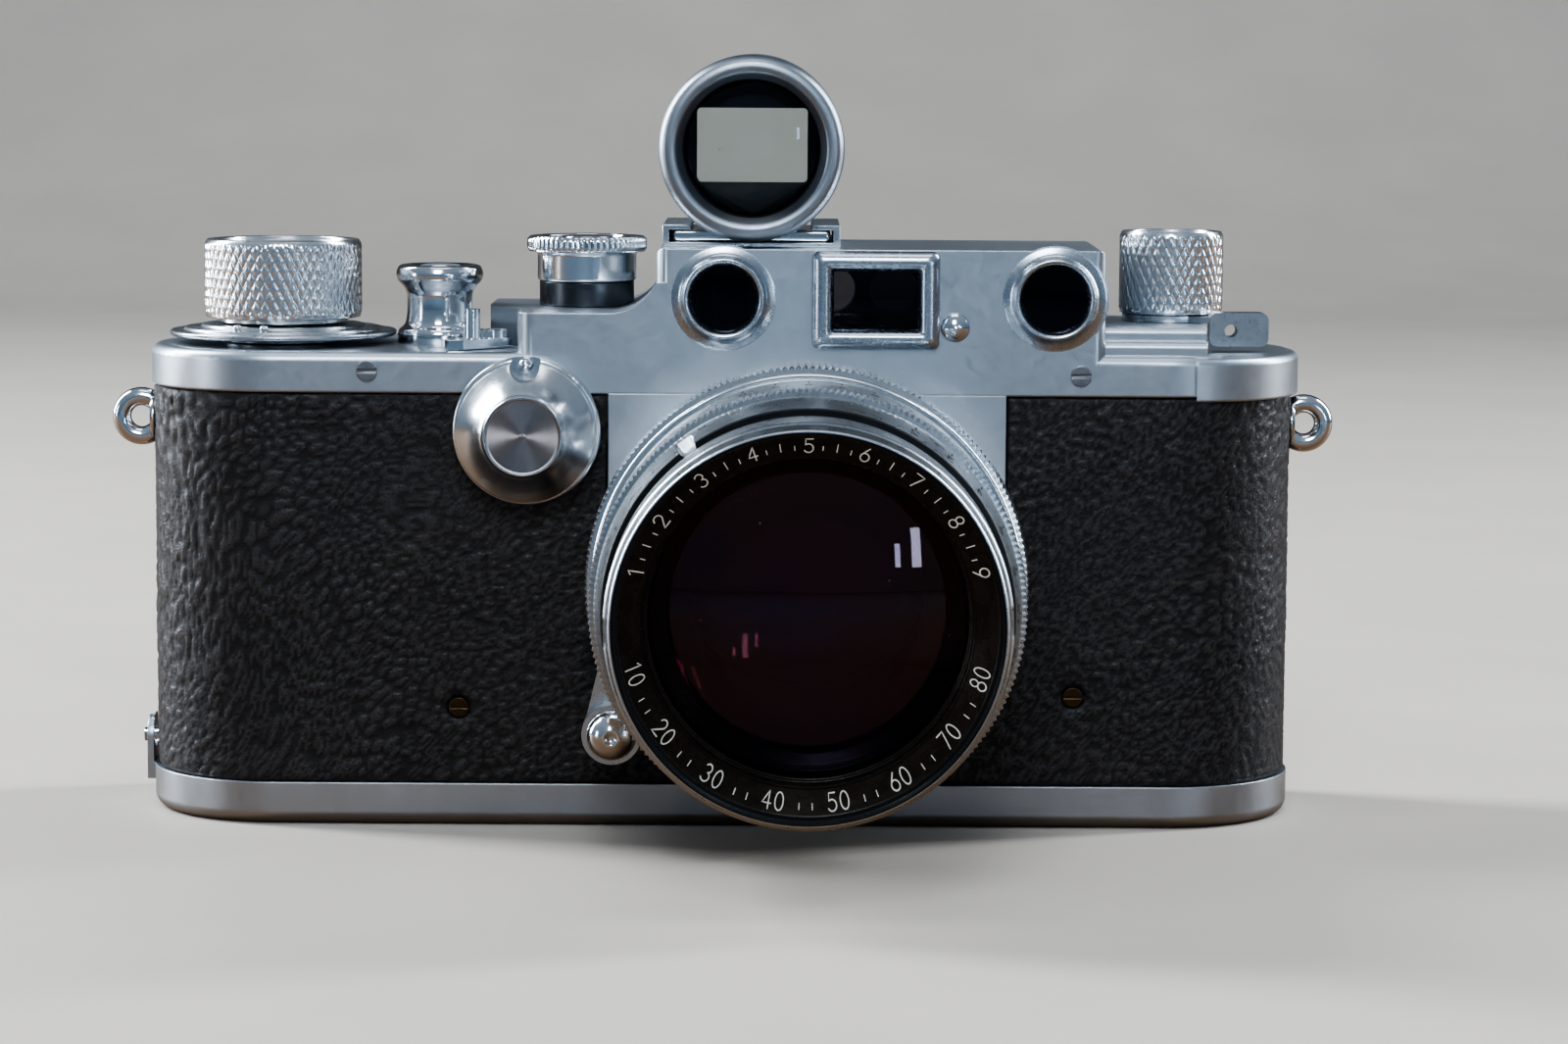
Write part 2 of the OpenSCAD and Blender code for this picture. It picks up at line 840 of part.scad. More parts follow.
module aperture_ring() {
    color(chrome) on_lens() difference() {
        union() {
            milled(grip_teeth, 23.2, 23.6, 51.4, 55.4);
            translate([0, 0, 55.4]) cylinder(r1 = 22.9, r2 = 21.9, h = 5.55);
        }
        translate([0, 0, 50]) cylinder(r = 20.55, h = 20);
        rotate(126) translate([22, -1, 57.5]) cube([2, 2, 4]);
    }
}

module front_rim() {
    color(bright) on_lens() difference() {
        union() {
            translate([0, 0, 61]) cylinder(r = 20.9, h = 1.1);
            translate([0, 0, 62]) cylinder(r = rim_r, h = rim_h - 64.2);
            translate([0, 0, rim_h - 2.2]) cylinder(r1 = rim_r, r2 = rim_r - 0.65, h = 2.2);
        }
        translate([0, 0, 60]) cylinder(r = 17.5, h = 15);
        translate([0, 0, 64]) cylinder(r = 19.95, h = 10);
        translate([0, 0, 69.2]) cylinder(r = 20.35, h = 10);
        for (s = [-1, 1]) translate([s * 21.75, 0, rim_h - 2.2]) cube([1.4, 2.6, 1.6], center = true);
    }
}

module name_ring() {
    color(black) on_lens(64) rotate_extrude()
        polygon([[17.55, 0], [19.95, 0], [19.95, 5.1], [17.55, 2.2]]);
}

module front_element() {
    color(clear) on_lens(57) lens_blank(17.35, 55, 4.5);
}

module rear_element() {
    color(clear) on_lens(17) lens_blank(14.1, 40, 4);
}

// Curved iris blade number i, each in its own plane and pivoting on its own pin.
module iris_blade(i) {
    h = 41.06 + 0.18 * i;
    color(black) on_lens() rotate(i * 360 / blade_count) {
        translate([0, 0, h]) linear_extrude(0.12) {
            intersection() {
                difference() {
                    circle(15.2);
                    circle(13.2);
                }
                polygon([[0, 0], [30, 0], [30, 30], [-30, 30], 40 * [cos(112), sin(112)]]);
            }
            intersection() {
                polygon([[13.6, 0], [16.5, -0.7], [16.9, 0.6], [14.2, 3]]);
                circle(17);
            }
        }
        translate([blade_pivot_r, 0, 40.5]) cylinder(r = 0.5, h = h - 40.5);
    }
}

body_shell();
body_covering();
top_cover();
cover_screws();
covering_screws();
lens_mount();
strap_lugs();
base_stud();
rf_windows();
window_collars();
viewfinder_bezel();
viewfinder_glass();
adjuster_cap();
accessory_shoe();
release_collar();
shutter_crate();
shutter_curtains();
pressure_plate();
eyepiece_block();
wind_knob();
wind_shaft();
counter_dial();
take_up_spool();
sprocket_shaft();
shutter_drum();
speed_bush();
speed_dial();
slow_speed_dial();
slow_dial_button();
release_button();
rewind_lever();
rewind_knob();
rewind_shaft();
diopter_lever();
eyepiece_lens();
rf_arm();
base_plate();
base_key();
base_key_flap();
locking_bolt();
tripod_bush();
finder_body();
finder_mask();
finder_front_lens();
finder_eye_lens();
lens_base();
focus_ring();
infinity_lock();
infinity_button();
front_barrel();
aperture_ring();
front_rim();
name_ring();
front_element();
rear_element();
iris_blade(0);  // iris_blade_1
iris_blade(1);  // iris_blade_2
iris_blade(2);  // iris_blade_3
iris_blade(3);  // iris_blade_4
iris_blade(4);  // iris_blade_5
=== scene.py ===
"""Looks of the rangefinder camera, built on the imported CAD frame."""

import math

import bmesh
import bpy
import numpy as np
from mathutils import Matrix, Vector


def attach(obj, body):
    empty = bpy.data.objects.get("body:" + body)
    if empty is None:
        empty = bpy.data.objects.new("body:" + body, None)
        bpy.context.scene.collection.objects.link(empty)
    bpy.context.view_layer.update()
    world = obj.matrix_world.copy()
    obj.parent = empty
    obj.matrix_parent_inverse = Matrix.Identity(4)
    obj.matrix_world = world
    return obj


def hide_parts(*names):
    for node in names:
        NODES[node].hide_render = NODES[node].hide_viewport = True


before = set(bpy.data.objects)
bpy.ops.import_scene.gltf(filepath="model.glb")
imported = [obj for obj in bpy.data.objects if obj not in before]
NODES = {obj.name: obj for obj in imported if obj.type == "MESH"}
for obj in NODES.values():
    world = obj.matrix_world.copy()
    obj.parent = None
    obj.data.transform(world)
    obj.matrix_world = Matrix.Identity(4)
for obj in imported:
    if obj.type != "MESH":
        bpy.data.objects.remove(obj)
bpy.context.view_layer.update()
MM = 0.001
TAU = 2 * math.pi

# Axes shared with the CAD, in millimetres.
LENS = (10.0, 31.0)
FINDER = (3.4, 79.0)
SLOW = (-22.4, 46.45)
WIND = (-52.3, 0.0)
RELEASE = (-33.7, 0.0)
SPEED = (-16.2, 0.0)
REWIND = (53.2, 0.0)
WINDOWS = ((0.3, 61.8), (38.5, 61.9))
BODY_HL, BODY_R = 67.5, 15.5
# Lengths of one straight side and one round end of the body's outline.
STRAIGHT, BEND = 2 * (BODY_HL - BODY_R), math.pi * BODY_R


# ---- materials -----------------------------------------------------

class Graph:
    """Builds one material's node tree. Patterns are laid out in millimetres."""

    def __init__(self, name):
        self.mat = bpy.data.materials.new(name)
        self.mat.use_nodes = True
        self.tree = self.mat.node_tree
        self.tree.nodes.clear()
        self.out = self.node("ShaderNodeOutputMaterial")
        self.bsdf = self.node("ShaderNodeBsdfPrincipled")
        self.link(self.bsdf.outputs[0], self.out.inputs["Surface"])
        coord = self.node("ShaderNodeTexCoord")
        scale = self.node("ShaderNodeVectorMath", operation="SCALE")
        scale.inputs["Scale"].default_value = 1 / MM
        self.link(coord.outputs["Object"], scale.inputs[0])
        self.mm = scale.outputs[0]

    def node(self, kind, **props):
        made = self.tree.nodes.new(kind)
        for key, value in props.items():
            setattr(made, key, value)
        return made

    def link(self, a, b):
        self.tree.links.new(a, b)

    def feed(self, socket, value):
        if isinstance(value, bpy.types.NodeSocket):
            self.link(value, socket)
        elif isinstance(value, (tuple, list)) and len(value) == 3 and socket.type == "RGBA":
            socket.default_value = (*value, 1)
        else:
            socket.default_value = value

    def set(self, **values):
        for key, value in values.items():
            self.feed(self.bsdf.inputs[key.replace("_", " ")], value)

    def noise(self, scale, detail=3.0, rough=0.5, distort=0.0, vector=None):
        n = self.node("ShaderNodeTexNoise")
        self.feed(n.inputs["Vector"], vector or self.mm)
        self.feed(n.inputs["Scale"], scale)
        self.feed(n.inputs["Detail"], detail)
        self.feed(n.inputs["Roughness"], rough)
        self.feed(n.inputs["Distortion"], distort)
        return n.outputs["Fac"]

    def voronoi(self, scale):
        n = self.node("ShaderNodeTexVoronoi")
        self.link(self.mm, n.inputs["Vector"])
        self.feed(n.inputs["Scale"], scale)
        return n.outputs["Distance"]

    def stretched(self, sx, sy, sz):
        n = self.node("ShaderNodeVectorMath", operation="MULTIPLY")
        self.link(self.mm, n.inputs[0])
        n.inputs[1].default_value = (sx, sy, sz)
        return n.outputs[0]

    def remap(self, value, a, b, c=0.0, d=1.0):
        n = self.node("ShaderNodeMapRange")
        self.feed(n.inputs["Value"], value)
        for key, number in zip(("From Min", "From Max", "To Min", "To Max"), (a, b, c, d)):
            n.inputs[key].default_value = number
        return n.outputs[0]

    def math(self, op, a, b=0.0):
        n = self.node("ShaderNodeMath", operation=op)
        self.feed(n.inputs[0], a)
        self.feed(n.inputs[1], b)
        return n.outputs[0]

    def mix(self, factor, a, b):
        n = self.node("ShaderNodeMix", data_type="RGBA")
        self.feed(n.inputs[0], factor)
        self.feed(n.inputs[6], a)
        self.feed(n.inputs[7], b)
        return n.outputs[2]

    def blend(self, share, a, b):
        n = self.node("ShaderNodeMixShader")
        for socket, output in zip(n.inputs, (share, a.outputs[0], b.outputs[0])):
            self.link(output, socket)
        return n

    def bump(self, height, depth_mm, strength=1.0, normal=None):
        n = self.node("ShaderNodeBump")
        n.inputs["Distance"].default_value = depth_mm * MM
        n.inputs["Strength"].default_value = strength
        self.link(height, n.inputs["Height"])
        if normal is not None:
            self.link(normal, n.inputs["Normal"])
        return n.outputs[0]

    def soft_edges(self, radius_mm):
        """Normal that turns smoothly over sharp edges, and a mask that is 1 on them."""
        bevel = self.node("ShaderNodeBevel", samples=4)
        bevel.inputs["Radius"].default_value = radius_mm * MM
        flat = self.node("ShaderNodeNewGeometry")
        dot = self.node("ShaderNodeVectorMath", operation="DOT_PRODUCT")
        self.link(bevel.outputs[0], dot.inputs[0])
        self.link(flat.outputs["Normal"], dot.inputs[1])
        return bevel.outputs[0], self.remap(dot.outputs["Value"], 0.995, 0.88)


def metal(name, colour, rough, spread, grain=0.0, grain_scale=9.0, edge=0.15, worn=None,
          scratches=0.0):
    """Plated or bare metal: cloudy handling marks, fine grain, hairlines and rubbed edges."""
    g = Graph(name)
    cloud = g.noise(0.12, 5, 0.6, 0.6)
    smudge = g.noise(0.55, 4, 0.65, 1.4)
    speck = g.noise(grain_scale, 2, 0.6)
    base = g.mix(g.remap(cloud, 0.35, 0.7), [c * 0.93 for c in colour], colour)
    normal = None
    if edge:
        normal, rim = g.soft_edges(edge)
        rim_patchy = g.math("MULTIPLY", rim, g.remap(g.noise(0.9, 4, 0.7), 0.35, 0.6))
        base = g.mix(rim_patchy, base, worn or [min(1, c * 1.12) for c in colour])
    r = g.math("ADD", g.remap(smudge, 0.3, 0.72, rough - spread, rough + spread),
               g.remap(speck, 0.3, 0.7, -0.02, 0.02))
    if scratches:
        line = g.noise(1.0, 2, 0.5, 0.3, g.stretched(0.35, 0.35, 14))
        hair = g.remap(line, 0.66, 0.72)
        r = g.math("ADD", r, g.math("MULTIPLY", hair, scratches))
    if grain:
        normal = g.bump(speck, grain, 1.0, normal)
    g.set(Base_Color=base, Metallic=1.0, Roughness=r)
    if normal is not None:
        g.set(Normal=normal)
    return g.mat


def turned_metal(name, colour, rough, axis, aniso=0.75):
    """Lathe-faced metal whose highlight fans out from the middle."""
    g = Graph(name)
    tangent = g.node("ShaderNodeTangent", direction_type="RADIAL", axis=axis)
    g.link(tangent.outputs[0], g.bsdf.inputs["Tangent"])
    wear = g.noise(0.8, 4, 0.6)
    g.set(Base_Color=g.mix(g.remap(wear, 0.3, 0.7), [c * 0.94 for c in colour], colour),
          Metallic=1.0, Roughness=g.remap(wear, 0.3, 0.7, rough - 0.03, rough + 0.03),
          Anisotropic=aniso)
    return g.mat


def paint(name, colour, rough, spread=0.06, orange_peel=0.01, edge=0.1):
    """Lacquer or anodising, a little cloudy, with softened edges."""
    g = Graph(name)
    normal, rim = g.soft_edges(edge)
    cloud = g.noise(0.4, 4, 0.6, 0.5)
    base = g.mix(g.remap(cloud, 0.3, 0.7), colour, [c * 1.35 + 0.002 for c in colour])
    base = g.mix(g.math("MULTIPLY", rim, 0.35), base, [c * 2 + 0.03 for c in colour])
    g.set(Base_Color=base, Roughness=g.remap(cloud, 0.3, 0.7, rough - spread, rough + spread),
          Normal=g.bump(g.noise(3.5, 3), orange_peel, 1.0, normal))
    return g.mat


def leather_material():
    """Black pebble-grained covering: dull creases and polished tops. The tops' lighter colour is partly
    rubbed wear and partly a painted highlight, with painted shade left in the creases.
    """
    g = Graph("leather_black")
    pebble = g.node("ShaderNodeAttribute", attribute_name="pebble").outputs["Fac"]
    top = g.remap(pebble, 0.3, 0.95)
    fine = g.noise(4.2, 4, 0.62, 0.3)
    pore = g.voronoi(2.6)
    patch = g.noise(0.07, 4, 0.6, 0.8)
    base = g.mix(g.remap(patch, 0.35, 0.65), (0.0095, 0.0085, 0.0095), (0.016, 0.0135, 0.0135))
    # Pebble tops painted lighter: partly rubbed wear, partly a painted highlight; the darker creases are
    # painted shade.
    base = g.mix(g.math("MULTIPLY", top, g.remap(fine, 0.3, 0.7, 0.25, 0.8)), base, (0.064, 0.059, 0.062))
    rough = g.math("ADD", g.remap(top, 0, 1, 0.52, 0.30), g.remap(fine, 0.3, 0.7, -0.05, 0.07))
    height = g.math("ADD", fine, g.math("MULTIPLY", pore, 0.5))
    g.set(Base_Color=base, Roughness=rough, Normal=g.bump(height, 0.06, 0.9),
          Specular_IOR_Level=0.5, Sheen_Weight=0.08, Sheen_Roughness=0.45)
    return g.mat


def cloth_material():
    """Dull black woven cloth."""
    g = Graph("shutter_cloth")
    threads = []
    for direction in ("X", "Z"):
        wave = g.node("ShaderNodeTexWave", bands_direction=direction)
        g.link(g.mm, wave.inputs["Vector"])
        wave.inputs["Scale"].default_value = 3.2
        threads.append(wave.outputs["Fac"])
    height = g.math("ADD", *threads)
    g.set(Base_Color=g.mix(g.remap(height, 0.4, 1.6), (0.006, 0.006, 0.007), (0.02, 0.02, 0.022)),
          Roughness=0.8, Sheen_Weight=0.3, Normal=g.bump(height, 0.04))
    return g.mat


def coated_glass(name, passed, mirrored, power, dust=0.0, tint=None):
    """Thin-looking glass: mostly clear, mirroring the coating's colour more at glancing angles."""
    g = Graph(name)
    clear = g.node("ShaderNodeBsdfTransparent")
    g.feed(clear.inputs[0], passed)
    gloss = g.node("ShaderNodeBsdfAnisotropic")
    hue = g.mix(g.remap(g.noise(0.05, 2), 0.35, 0.65), mirrored, tint or mirrored)
    g.feed(gloss.inputs["Color"], hue)
    g.feed(gloss.inputs["Roughness"], g.remap(g.noise(0.15, 4, 0.6), 0.3, 0.75, 0.015, 0.03))
    fresnel = g.node("ShaderNodeFresnel")
    fresnel.inputs["IOR"].default_value = 1.5
    top = g.blend(g.math("MULTIPLY", fresnel.outputs[0], power), clear, gloss)
    if dust:
        speck = g.node("ShaderNodeBsdfDiffuse")
        g.feed(speck.inputs["Color"], (0.6, 0.6, 0.62))
        dots = g.remap(g.voronoi(0.42), 0.055, 0.035)
        bits = g.math("MULTIPLY", dots, g.remap(g.noise(0.3, 2), 0.5, 0.62))
        top = g.blend(g.math("MULTIPLY", bits, dust), top, speck)
    g.link(top.outputs[0], g.out.inputs["Surface"])
    g.tree.nodes.remove(g.bsdf)
    return g.mat


SATIN = metal("satin_chrome", (0.58, 0.625, 0.675), 0.37, 0.04, 0.006, 7.0, 0.2,
              worn=(0.72, 0.76, 0.80), scratches=0.05)
SATIN_FINE = metal("satin_chrome_rings", (0.56, 0.59, 0.62), 0.30, 0.04, 0.003, 9.0,
                   edge=0, scratches=0.06)
FINDER_SATIN = metal("satin_chrome_finder", (0.40, 0.43, 0.47), 0.40, 0.04, 0.006, 8.0, edge=0)
SMOOTH_SATIN = metal("satin_chrome_smooth", (0.58, 0.625, 0.675), 0.26, 0.03, edge=0)
BRIGHT = metal("bright_chrome", (0.80, 0.825, 0.85), 0.13, 0.04, edge=0, scratches=0.06)
KNURLED = metal("knurled_chrome", (0.84, 0.86, 0.88), 0.22, 0.04, edge=0)
STEEL = metal("steel", (0.34, 0.35, 0.37), 0.38, 0.08, 0.006, 6.0, 0.15, scratches=0.1)
# Steel darkened as painted shade: the bush under the speed dial sits in shadow.
STEEL_PAINTED_SHADE = metal("steel_painted_shade", (0.10, 0.105, 0.115), 0.34, 0.08, 0.004, 6.0, 0.15)
# Covering screws: the dark base colour is painted shade from their recesses in the leather; the lighter
# edges are wear.
BRASS = metal("brass_painted_shade", (0.09, 0.062, 0.036), 0.46, 0.1, 0.006, 5.0, 0.1, worn=(0.5, 0.36, 0.18))
BUSH_BRASS = metal("brass", (0.60, 0.44, 0.21), 0.3, 0.08, 0.004, 5.0, 0.15)
BLUED = metal("blued_steel", (0.05, 0.055, 0.07), 0.4, 0.08, 0.004, 6.0, 0.05)
FACED = turned_metal("faced_metal", (0.40, 0.38, 0.39), 0.34, "Y", 0.9)
TURNED_TOP = turned_metal("turned_top", (0.70, 0.72, 0.75), 0.3, "Z", 0.6)
TURNED_DOME = turned_metal("turned_dome", (0.80, 0.815, 0.83), 0.21, "Y", 0.3)
BLACK = paint("black_lacquer", (0.012, 0.012, 0.013), 0.36)
MATT_BLACK = paint("matt_black", (0.008, 0.008, 0.009), 0.6, 0.08, 0.02)
# The name ring's brown tint is a painted warm reflection on black.
NAME_BLACK = paint("ring_black", (0.021, 0.0155, 0.012), 0.27, 0.05, 0.006, edge=0.04)
INK = paint("engraving_black", (0.010, 0.010, 0.011), 0.5)
IVORY = paint("engraving_ivory", (0.66, 0.63, 0.55), 0.5, 0.05, 0.01)
LEATHER = leather_material()
CLOTH = cloth_material()
FRONT_GLASS = coated_glass("coated_front_glass", (0.80, 0.70, 0.72), (0.92, 0.66, 0.56), 1.6,
                           dust=0.55, tint=(0.62, 0.50, 0.72))
INNER_GLASS = coated_glass("coated_inner_glass", (0.70, 0.55, 0.55), (1.0, 0.42, 0.28), 1.6,
                           tint=(0.85, 0.36, 0.42))
WINDOW_GLASS = coated_glass("window_glass", (0.35, 0.34, 0.36), (0.7, 0.75, 0.9), 0.9)
THIN_GLASS = coated_glass("finder_glass", (0.93, 0.95, 0.94), (0.75, 0.85, 1.0), 0.9, dust=0.3)


# ---- geometry helpers ----------------------------------------------

def upright(x, y):
    return Matrix.Translation((x, y, 0))


def facing(x, z):
    """Local Z points out of the camera's front; local X and Y are the row's X and Z."""
    return Matrix(((1, 0, 0, x), (0, 0, -1, 0), (0, 1, 0, z), (0, 0, 0, 1)))


def placed(points, place):
    """Local points moved to `place`, all in mm."""
    m = np.array(place)
    return np.asarray(points, float) @ m[:3, :3].T + m[:3, 3]


def softened(points, radius=0.15, steps=4):
    """Profile whose corners are rounded. A point may carry a radius of its own."""
    out = []
    for i, p in enumerate(points):
        here = np.array(p[:2], float)
        want = p[2] if len(p) > 2 else radius
        if i in (0, len(points) - 1) or want == 0:
            out.append(tuple(here))
            continue
        before = np.array(points[i - 1][:2], float) - here
        after = np.array(points[i + 1][:2], float) - here
        la, lb = np.linalg.norm(before), np.linalg.norm(after)
        cut = min(want, 0.48 * la, 0.48 * lb)
        a, b = here + before / la * cut, here + after / lb * cut
        for k in range(steps + 1):
            t = k / steps
            out.append(tuple(a * (1 - t) ** 2 + here * 2 * t * (1 - t) + b * t * t))
    return out


def run(r, z0, z1, count, r1=None):
    """Straight stretch of profile points, for parts that get teeth."""
    end = r if r1 is None else r1
    return [(r + (end - r) * i / count, z0 + (z1 - z0) * i / count, 0) for i in range(count + 1)]


def grooves(r_out, r_in, z0, z1, count):
    """Fine V thread seen in section."""
    out = []
    for i in range(count):
        z = z0 + (z1 - z0) * i / count
        step = (z1 - z0) / count
        out += [(r_out, z + 0.1 * step, 0), (r_out, z + 0.25 * step, 0),
                (r_in, z + 0.55 * step, 0), (r_in, z + 0.7 * step, 0)]
    return out


def add_object(name, data):
    obj = bpy.data.objects.new(name, data)
    bpy.context.scene.collection.objects.link(obj)
    return obj


def finish_mesh(name, mesh, body, material, replaces=(), slot=None, sharp=42, inner=None,
                weighted=True):
    """Links a mesh as a piece: smooth shading, materials, body, CAD nodes it stands for."""
    bm = bmesh.new()
    bm.from_mesh(mesh)
    bmesh.ops.remove_doubles(bm, verts=bm.verts, dist=2e-7)
    bmesh.ops.dissolve_degenerate(bm, edges=bm.edges, dist=1e-7)
    bmesh.ops.recalc_face_normals(bm, faces=bm.faces)
    limit = math.radians(sharp)
    for f in bm.faces:
        f.smooth = True
    for e in bm.edges:
        e.smooth = len(e.link_faces) != 2 or e.calc_face_angle(0) < limit
    bm.to_mesh(mesh)
    bm.free()
    mesh.materials.append(material)
    if inner is not None:
        is_inner, second = inner
        mesh.materials.append(second)
        for p in mesh.polygons:
            p.material_index = int(is_inner(p.center / MM))
    obj = add_object(name, mesh)
    if weighted:
        obj.modifiers.new("normals", "WEIGHTED_NORMAL").keep_sharp = True
    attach(obj, body)
    if replaces:
        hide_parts(*replaces)
    return obj


def grid_mesh(name, points, rows, columns, wrap_rows, wrap_columns):
    """Quad mesh over a rows by columns array of points in metres."""
    faces = []
    for i in range(rows if wrap_rows else rows - 1):
        for j in range(columns if wrap_columns else columns - 1):
            a, b = i * columns + j, i * columns + (j + 1) % columns
            k = (i + 1) % rows
            faces.append((a, b, k * columns + (j + 1) % columns, k * columns + j))
    mesh = bpy.data.meshes.new(name)
    mesh.from_pydata([tuple(p) for p in points], [], faces)
    return mesh


def lathe(name, profile, place, body, material, steps=160, shape=None, closed=True, **rest):
    """Turns a profile of (radius, height) in mm about the local Z axis of `place`."""
    r, h = np.array([p[:2] for p in profile], float).T
    turn = np.arange(steps) * TAU / steps
    theta, radius = np.meshgrid(turn, r, indexing="ij")
    height = np.broadcast_to(h, theta.shape)
    if shape is not None:
        radius, height = shape(theta, radius, height)
    local = np.stack([radius * np.cos(theta), radius * np.sin(theta), height], -1).reshape(-1, 3)
    mesh = grid_mesh(name, placed(local, place) * MM, steps, len(r), True, closed)
    return finish_mesh(name, mesh, body, material, **rest)


def rounded_loop(w, h, corner, per_corner=8):
    """Points of a rounded rectangle, anticlockwise."""
    out = []
    for k, (sx, sy) in enumerate(((1, 1), (-1, 1), (-1, -1), (1, -1))):
        cx, cy = sx * (w / 2 - corner), sy * (h / 2 - corner)
        for i in range(per_corner + 1):
            a = math.radians(90 * k + 90 * i / per_corner)
            out.append((cx + corner * math.cos(a), cy + corner * math.sin(a)))
    return out


def loft(name, sections, place, body, material, closed=True, **rest):
    """Skins rounded rectangles (width, depth, corner, height) in order."""
    local = [(x, y, z) for w, d, corner, z in sections for x, y in rounded_loop(w, d, corner)]
    around = len(local) // len(sections)
    mesh = grid_mesh(name, placed(local, place) * MM, len(sections), around, closed, True)
    return finish_mesh(name, mesh, body, material, **rest)


# ---- engraving -----------------------------------------------------

def arc(cx, cy, rx, ry, a0, a1, count=12):
    return [(cx + rx * math.cos(math.radians(a0 + (a1 - a0) * i / count)),
             cy + ry * math.sin(math.radians(a0 + (a1 - a0) * i / count)))
            for i in range(count + 1)]


DIGITS = {
    "0": [arc(0.3, 0.5, 0.28, 0.5, 90, 450, 20)],
    "1": [[(0.12, 0.8), (0.34, 1.0), (0.34, 0.0)]],
    "2": [arc(0.3, 0.72, 0.28, 0.28, 165, -30) + [(0.03, 0.0), (0.6, 0.0)]],
    "3": [arc(0.29, 0.75, 0.25, 0.25, 150, -80) + arc(0.29, 0.27, 0.29, 0.27, 78, -150)],
    "4": [[(0.44, 0.0), (0.44, 1.0), (0.02, 0.3), (0.6, 0.3)]],
    "5": [[(0.54, 1.0), (0.12, 1.0), (0.08, 0.57)] + arc(0.28, 0.32, 0.3, 0.32, 118, -150)],
    "6": [[(0.44, 1.0), (0.08, 0.5)] + arc(0.3, 0.3, 0.28, 0.3, 140, 500, 20)],
    "7": [[(0.02, 1.0), (0.58, 1.0), (0.2, 0.0)]],
    "8": [arc(0.3, 0.75, 0.23, 0.25, -90, 270, 16), arc(0.3, 0.26, 0.28, 0.26, 90, 450, 18)],
    "9": [[(0.16, 0.0), (0.52, 0.5)] + arc(0.3, 0.7, 0.28, 0.3, -40, 320, 20)],
}


def number(text, size):
    """Strokes of a row of digits, centred on 0 and standing on it."""
    advance = 0.86 * size
    start = -advance * len(text) / 2 + (advance - 0.6 * size) / 2
    return [[(start + i * advance + u * size, v * size) for u, v in stroke]
            for i, digit in enumerate(text) for stroke in DIGITS[digit]]


def ribbon(stroke, width, finest=0.35):
    """Outline pairs of a stroke with rounded ends, in the plane of the lettering."""
    pts = [np.array(stroke[0], float)]
    for p in stroke[1:]:
        p = np.array(p, float)
        gap = np.linalg.norm(p - pts[-1])
        if gap < 1e-6:
            continue
        count = max(1, int(gap / finest))
        start = pts[-1]
        pts += [start + (p - start) * (i + 1) / count for i in range(count)]
    pts = np.array(pts)
    ahead = np.diff(pts, axis=0)
    ahead /= np.linalg.norm(ahead, axis=1)[:, None]
    tangent = np.vstack([ahead[:1], ahead[:-1] + ahead[1:], ahead[-1:]])
    tangent /= np.maximum(np.linalg.norm(tangent, axis=1), 1e-6)[:, None]
    half = np.full(len(pts), width / 2)
    first = [pts[0] - tangent[0] * width * k for k in (0.5, 0.35)]
    last = [pts[-1] + tangent[-1] * width * k for k in (0.35, 0.5)]
    pts = np.vstack([first, pts, last])
    tangent = np.vstack([tangent[:1]] * 2 + [tangent] + [tangent[-1:]] * 2)
    half = np.concatenate([[width * 0.12, width * 0.36], half, [width * 0.36, width * 0.12]])
    side = np.stack([-tangent[:, 1], tangent[:, 0]], 1) * half[:, None]
    return pts + side, pts - side


def engrave(name, marks, body, material, slot=None):
    """One piece from many (strokes, width, where) marks; `where` maps (u, v) to the row frame."""
    verts, faces = [], []
    for strokes, width, where in marks:
        for stroke in strokes:
            left, right = ribbon(stroke, width)
            base = len(verts)
            for a, b in zip(left, right):
                verts += [where(*a), where(*b)]
            for i in range(len(left) - 1):
                k = base + 2 * i
                faces.append((k, k + 1, k + 3, k + 2))
    mesh = bpy.data.meshes.new(name)
    mesh.from_pydata([tuple(np.array(v) * MM) for v in verts], [], faces)
    return finish_mesh(name, mesh, body, material, slot=slot, weighted=False)


def on_ring(place, angle, radius, height, heads_out=True):
    """Lettering laid round a ring's face. `height` is a number or a function of radius."""
    sign = 1 if heads_out else -1

    def where(u, v):
        a = math.radians(angle) - sign * u / radius
        r = radius + sign * v
        h = height(r) if callable(height) else height
        return placed((r * math.cos(a), r * math.sin(a), h), place)

    return where


def on_drum(place, angle, radius, height):
    """Lettering wrapped on a ring's outside, its feet towards the front. `radius` is a number
    or a function of height."""
    radius_at = radius if callable(radius) else lambda h: radius

    def where(u, v):
        a = math.radians(angle) + u / radius_at(height)
        r = radius_at(height - v)
        return placed((r * math.cos(a), r * math.sin(a), height - v), place)

    return where


def on_knob_top(knob, height, direction=1):
    """Lettering laid flat on a knob's top. Direction -1 mirrors it."""
    return lambda u, v: np.array([knob[0] + direction * u, v, height])


def tick(length):
    return [[(0.0, 0.0), (0.0, length)]]


# ---- surface shapes ------------------------------------------------

def triangle(x):
    """0 at whole numbers and 1 half way between."""
    return 1 - np.abs(2 * (x - np.floor(x)) - 1)


def knurl(around, pitch, depth, full_r, z0, z1):
    """Diamond knurling between two heights on the outside of a knob."""

    def shape(theta, r, z):
        u, v = theta / TAU * around, (z - z0) / pitch
        hill = np.minimum(np.minimum(triangle(u + v / 2), triangle(u - v / 2)) * 1.45, 1)
        hill = hill * (2 - hill)
        fade = np.clip(np.minimum(z - z0, z1 - z) / 0.35, 0, 1)
        return np.where(r > full_r - 0.02, r - depth * (1 - hill * fade), r), z

    return shape


def teeth(count, depth, least_r, z0, z1):
    """Straight milling with rounded crests and sloped ends."""

    def shape(theta, r, z):
        wave = triangle(theta / TAU * count) ** 0.8
        inside = np.clip(np.minimum(z - z0, z1 - z) / 0.3, 0, 1)
        return np.where(r > least_r, r - depth * (1 - wave * inside), r), z

    return shape


# ---- leather covering ----------------------------------------------

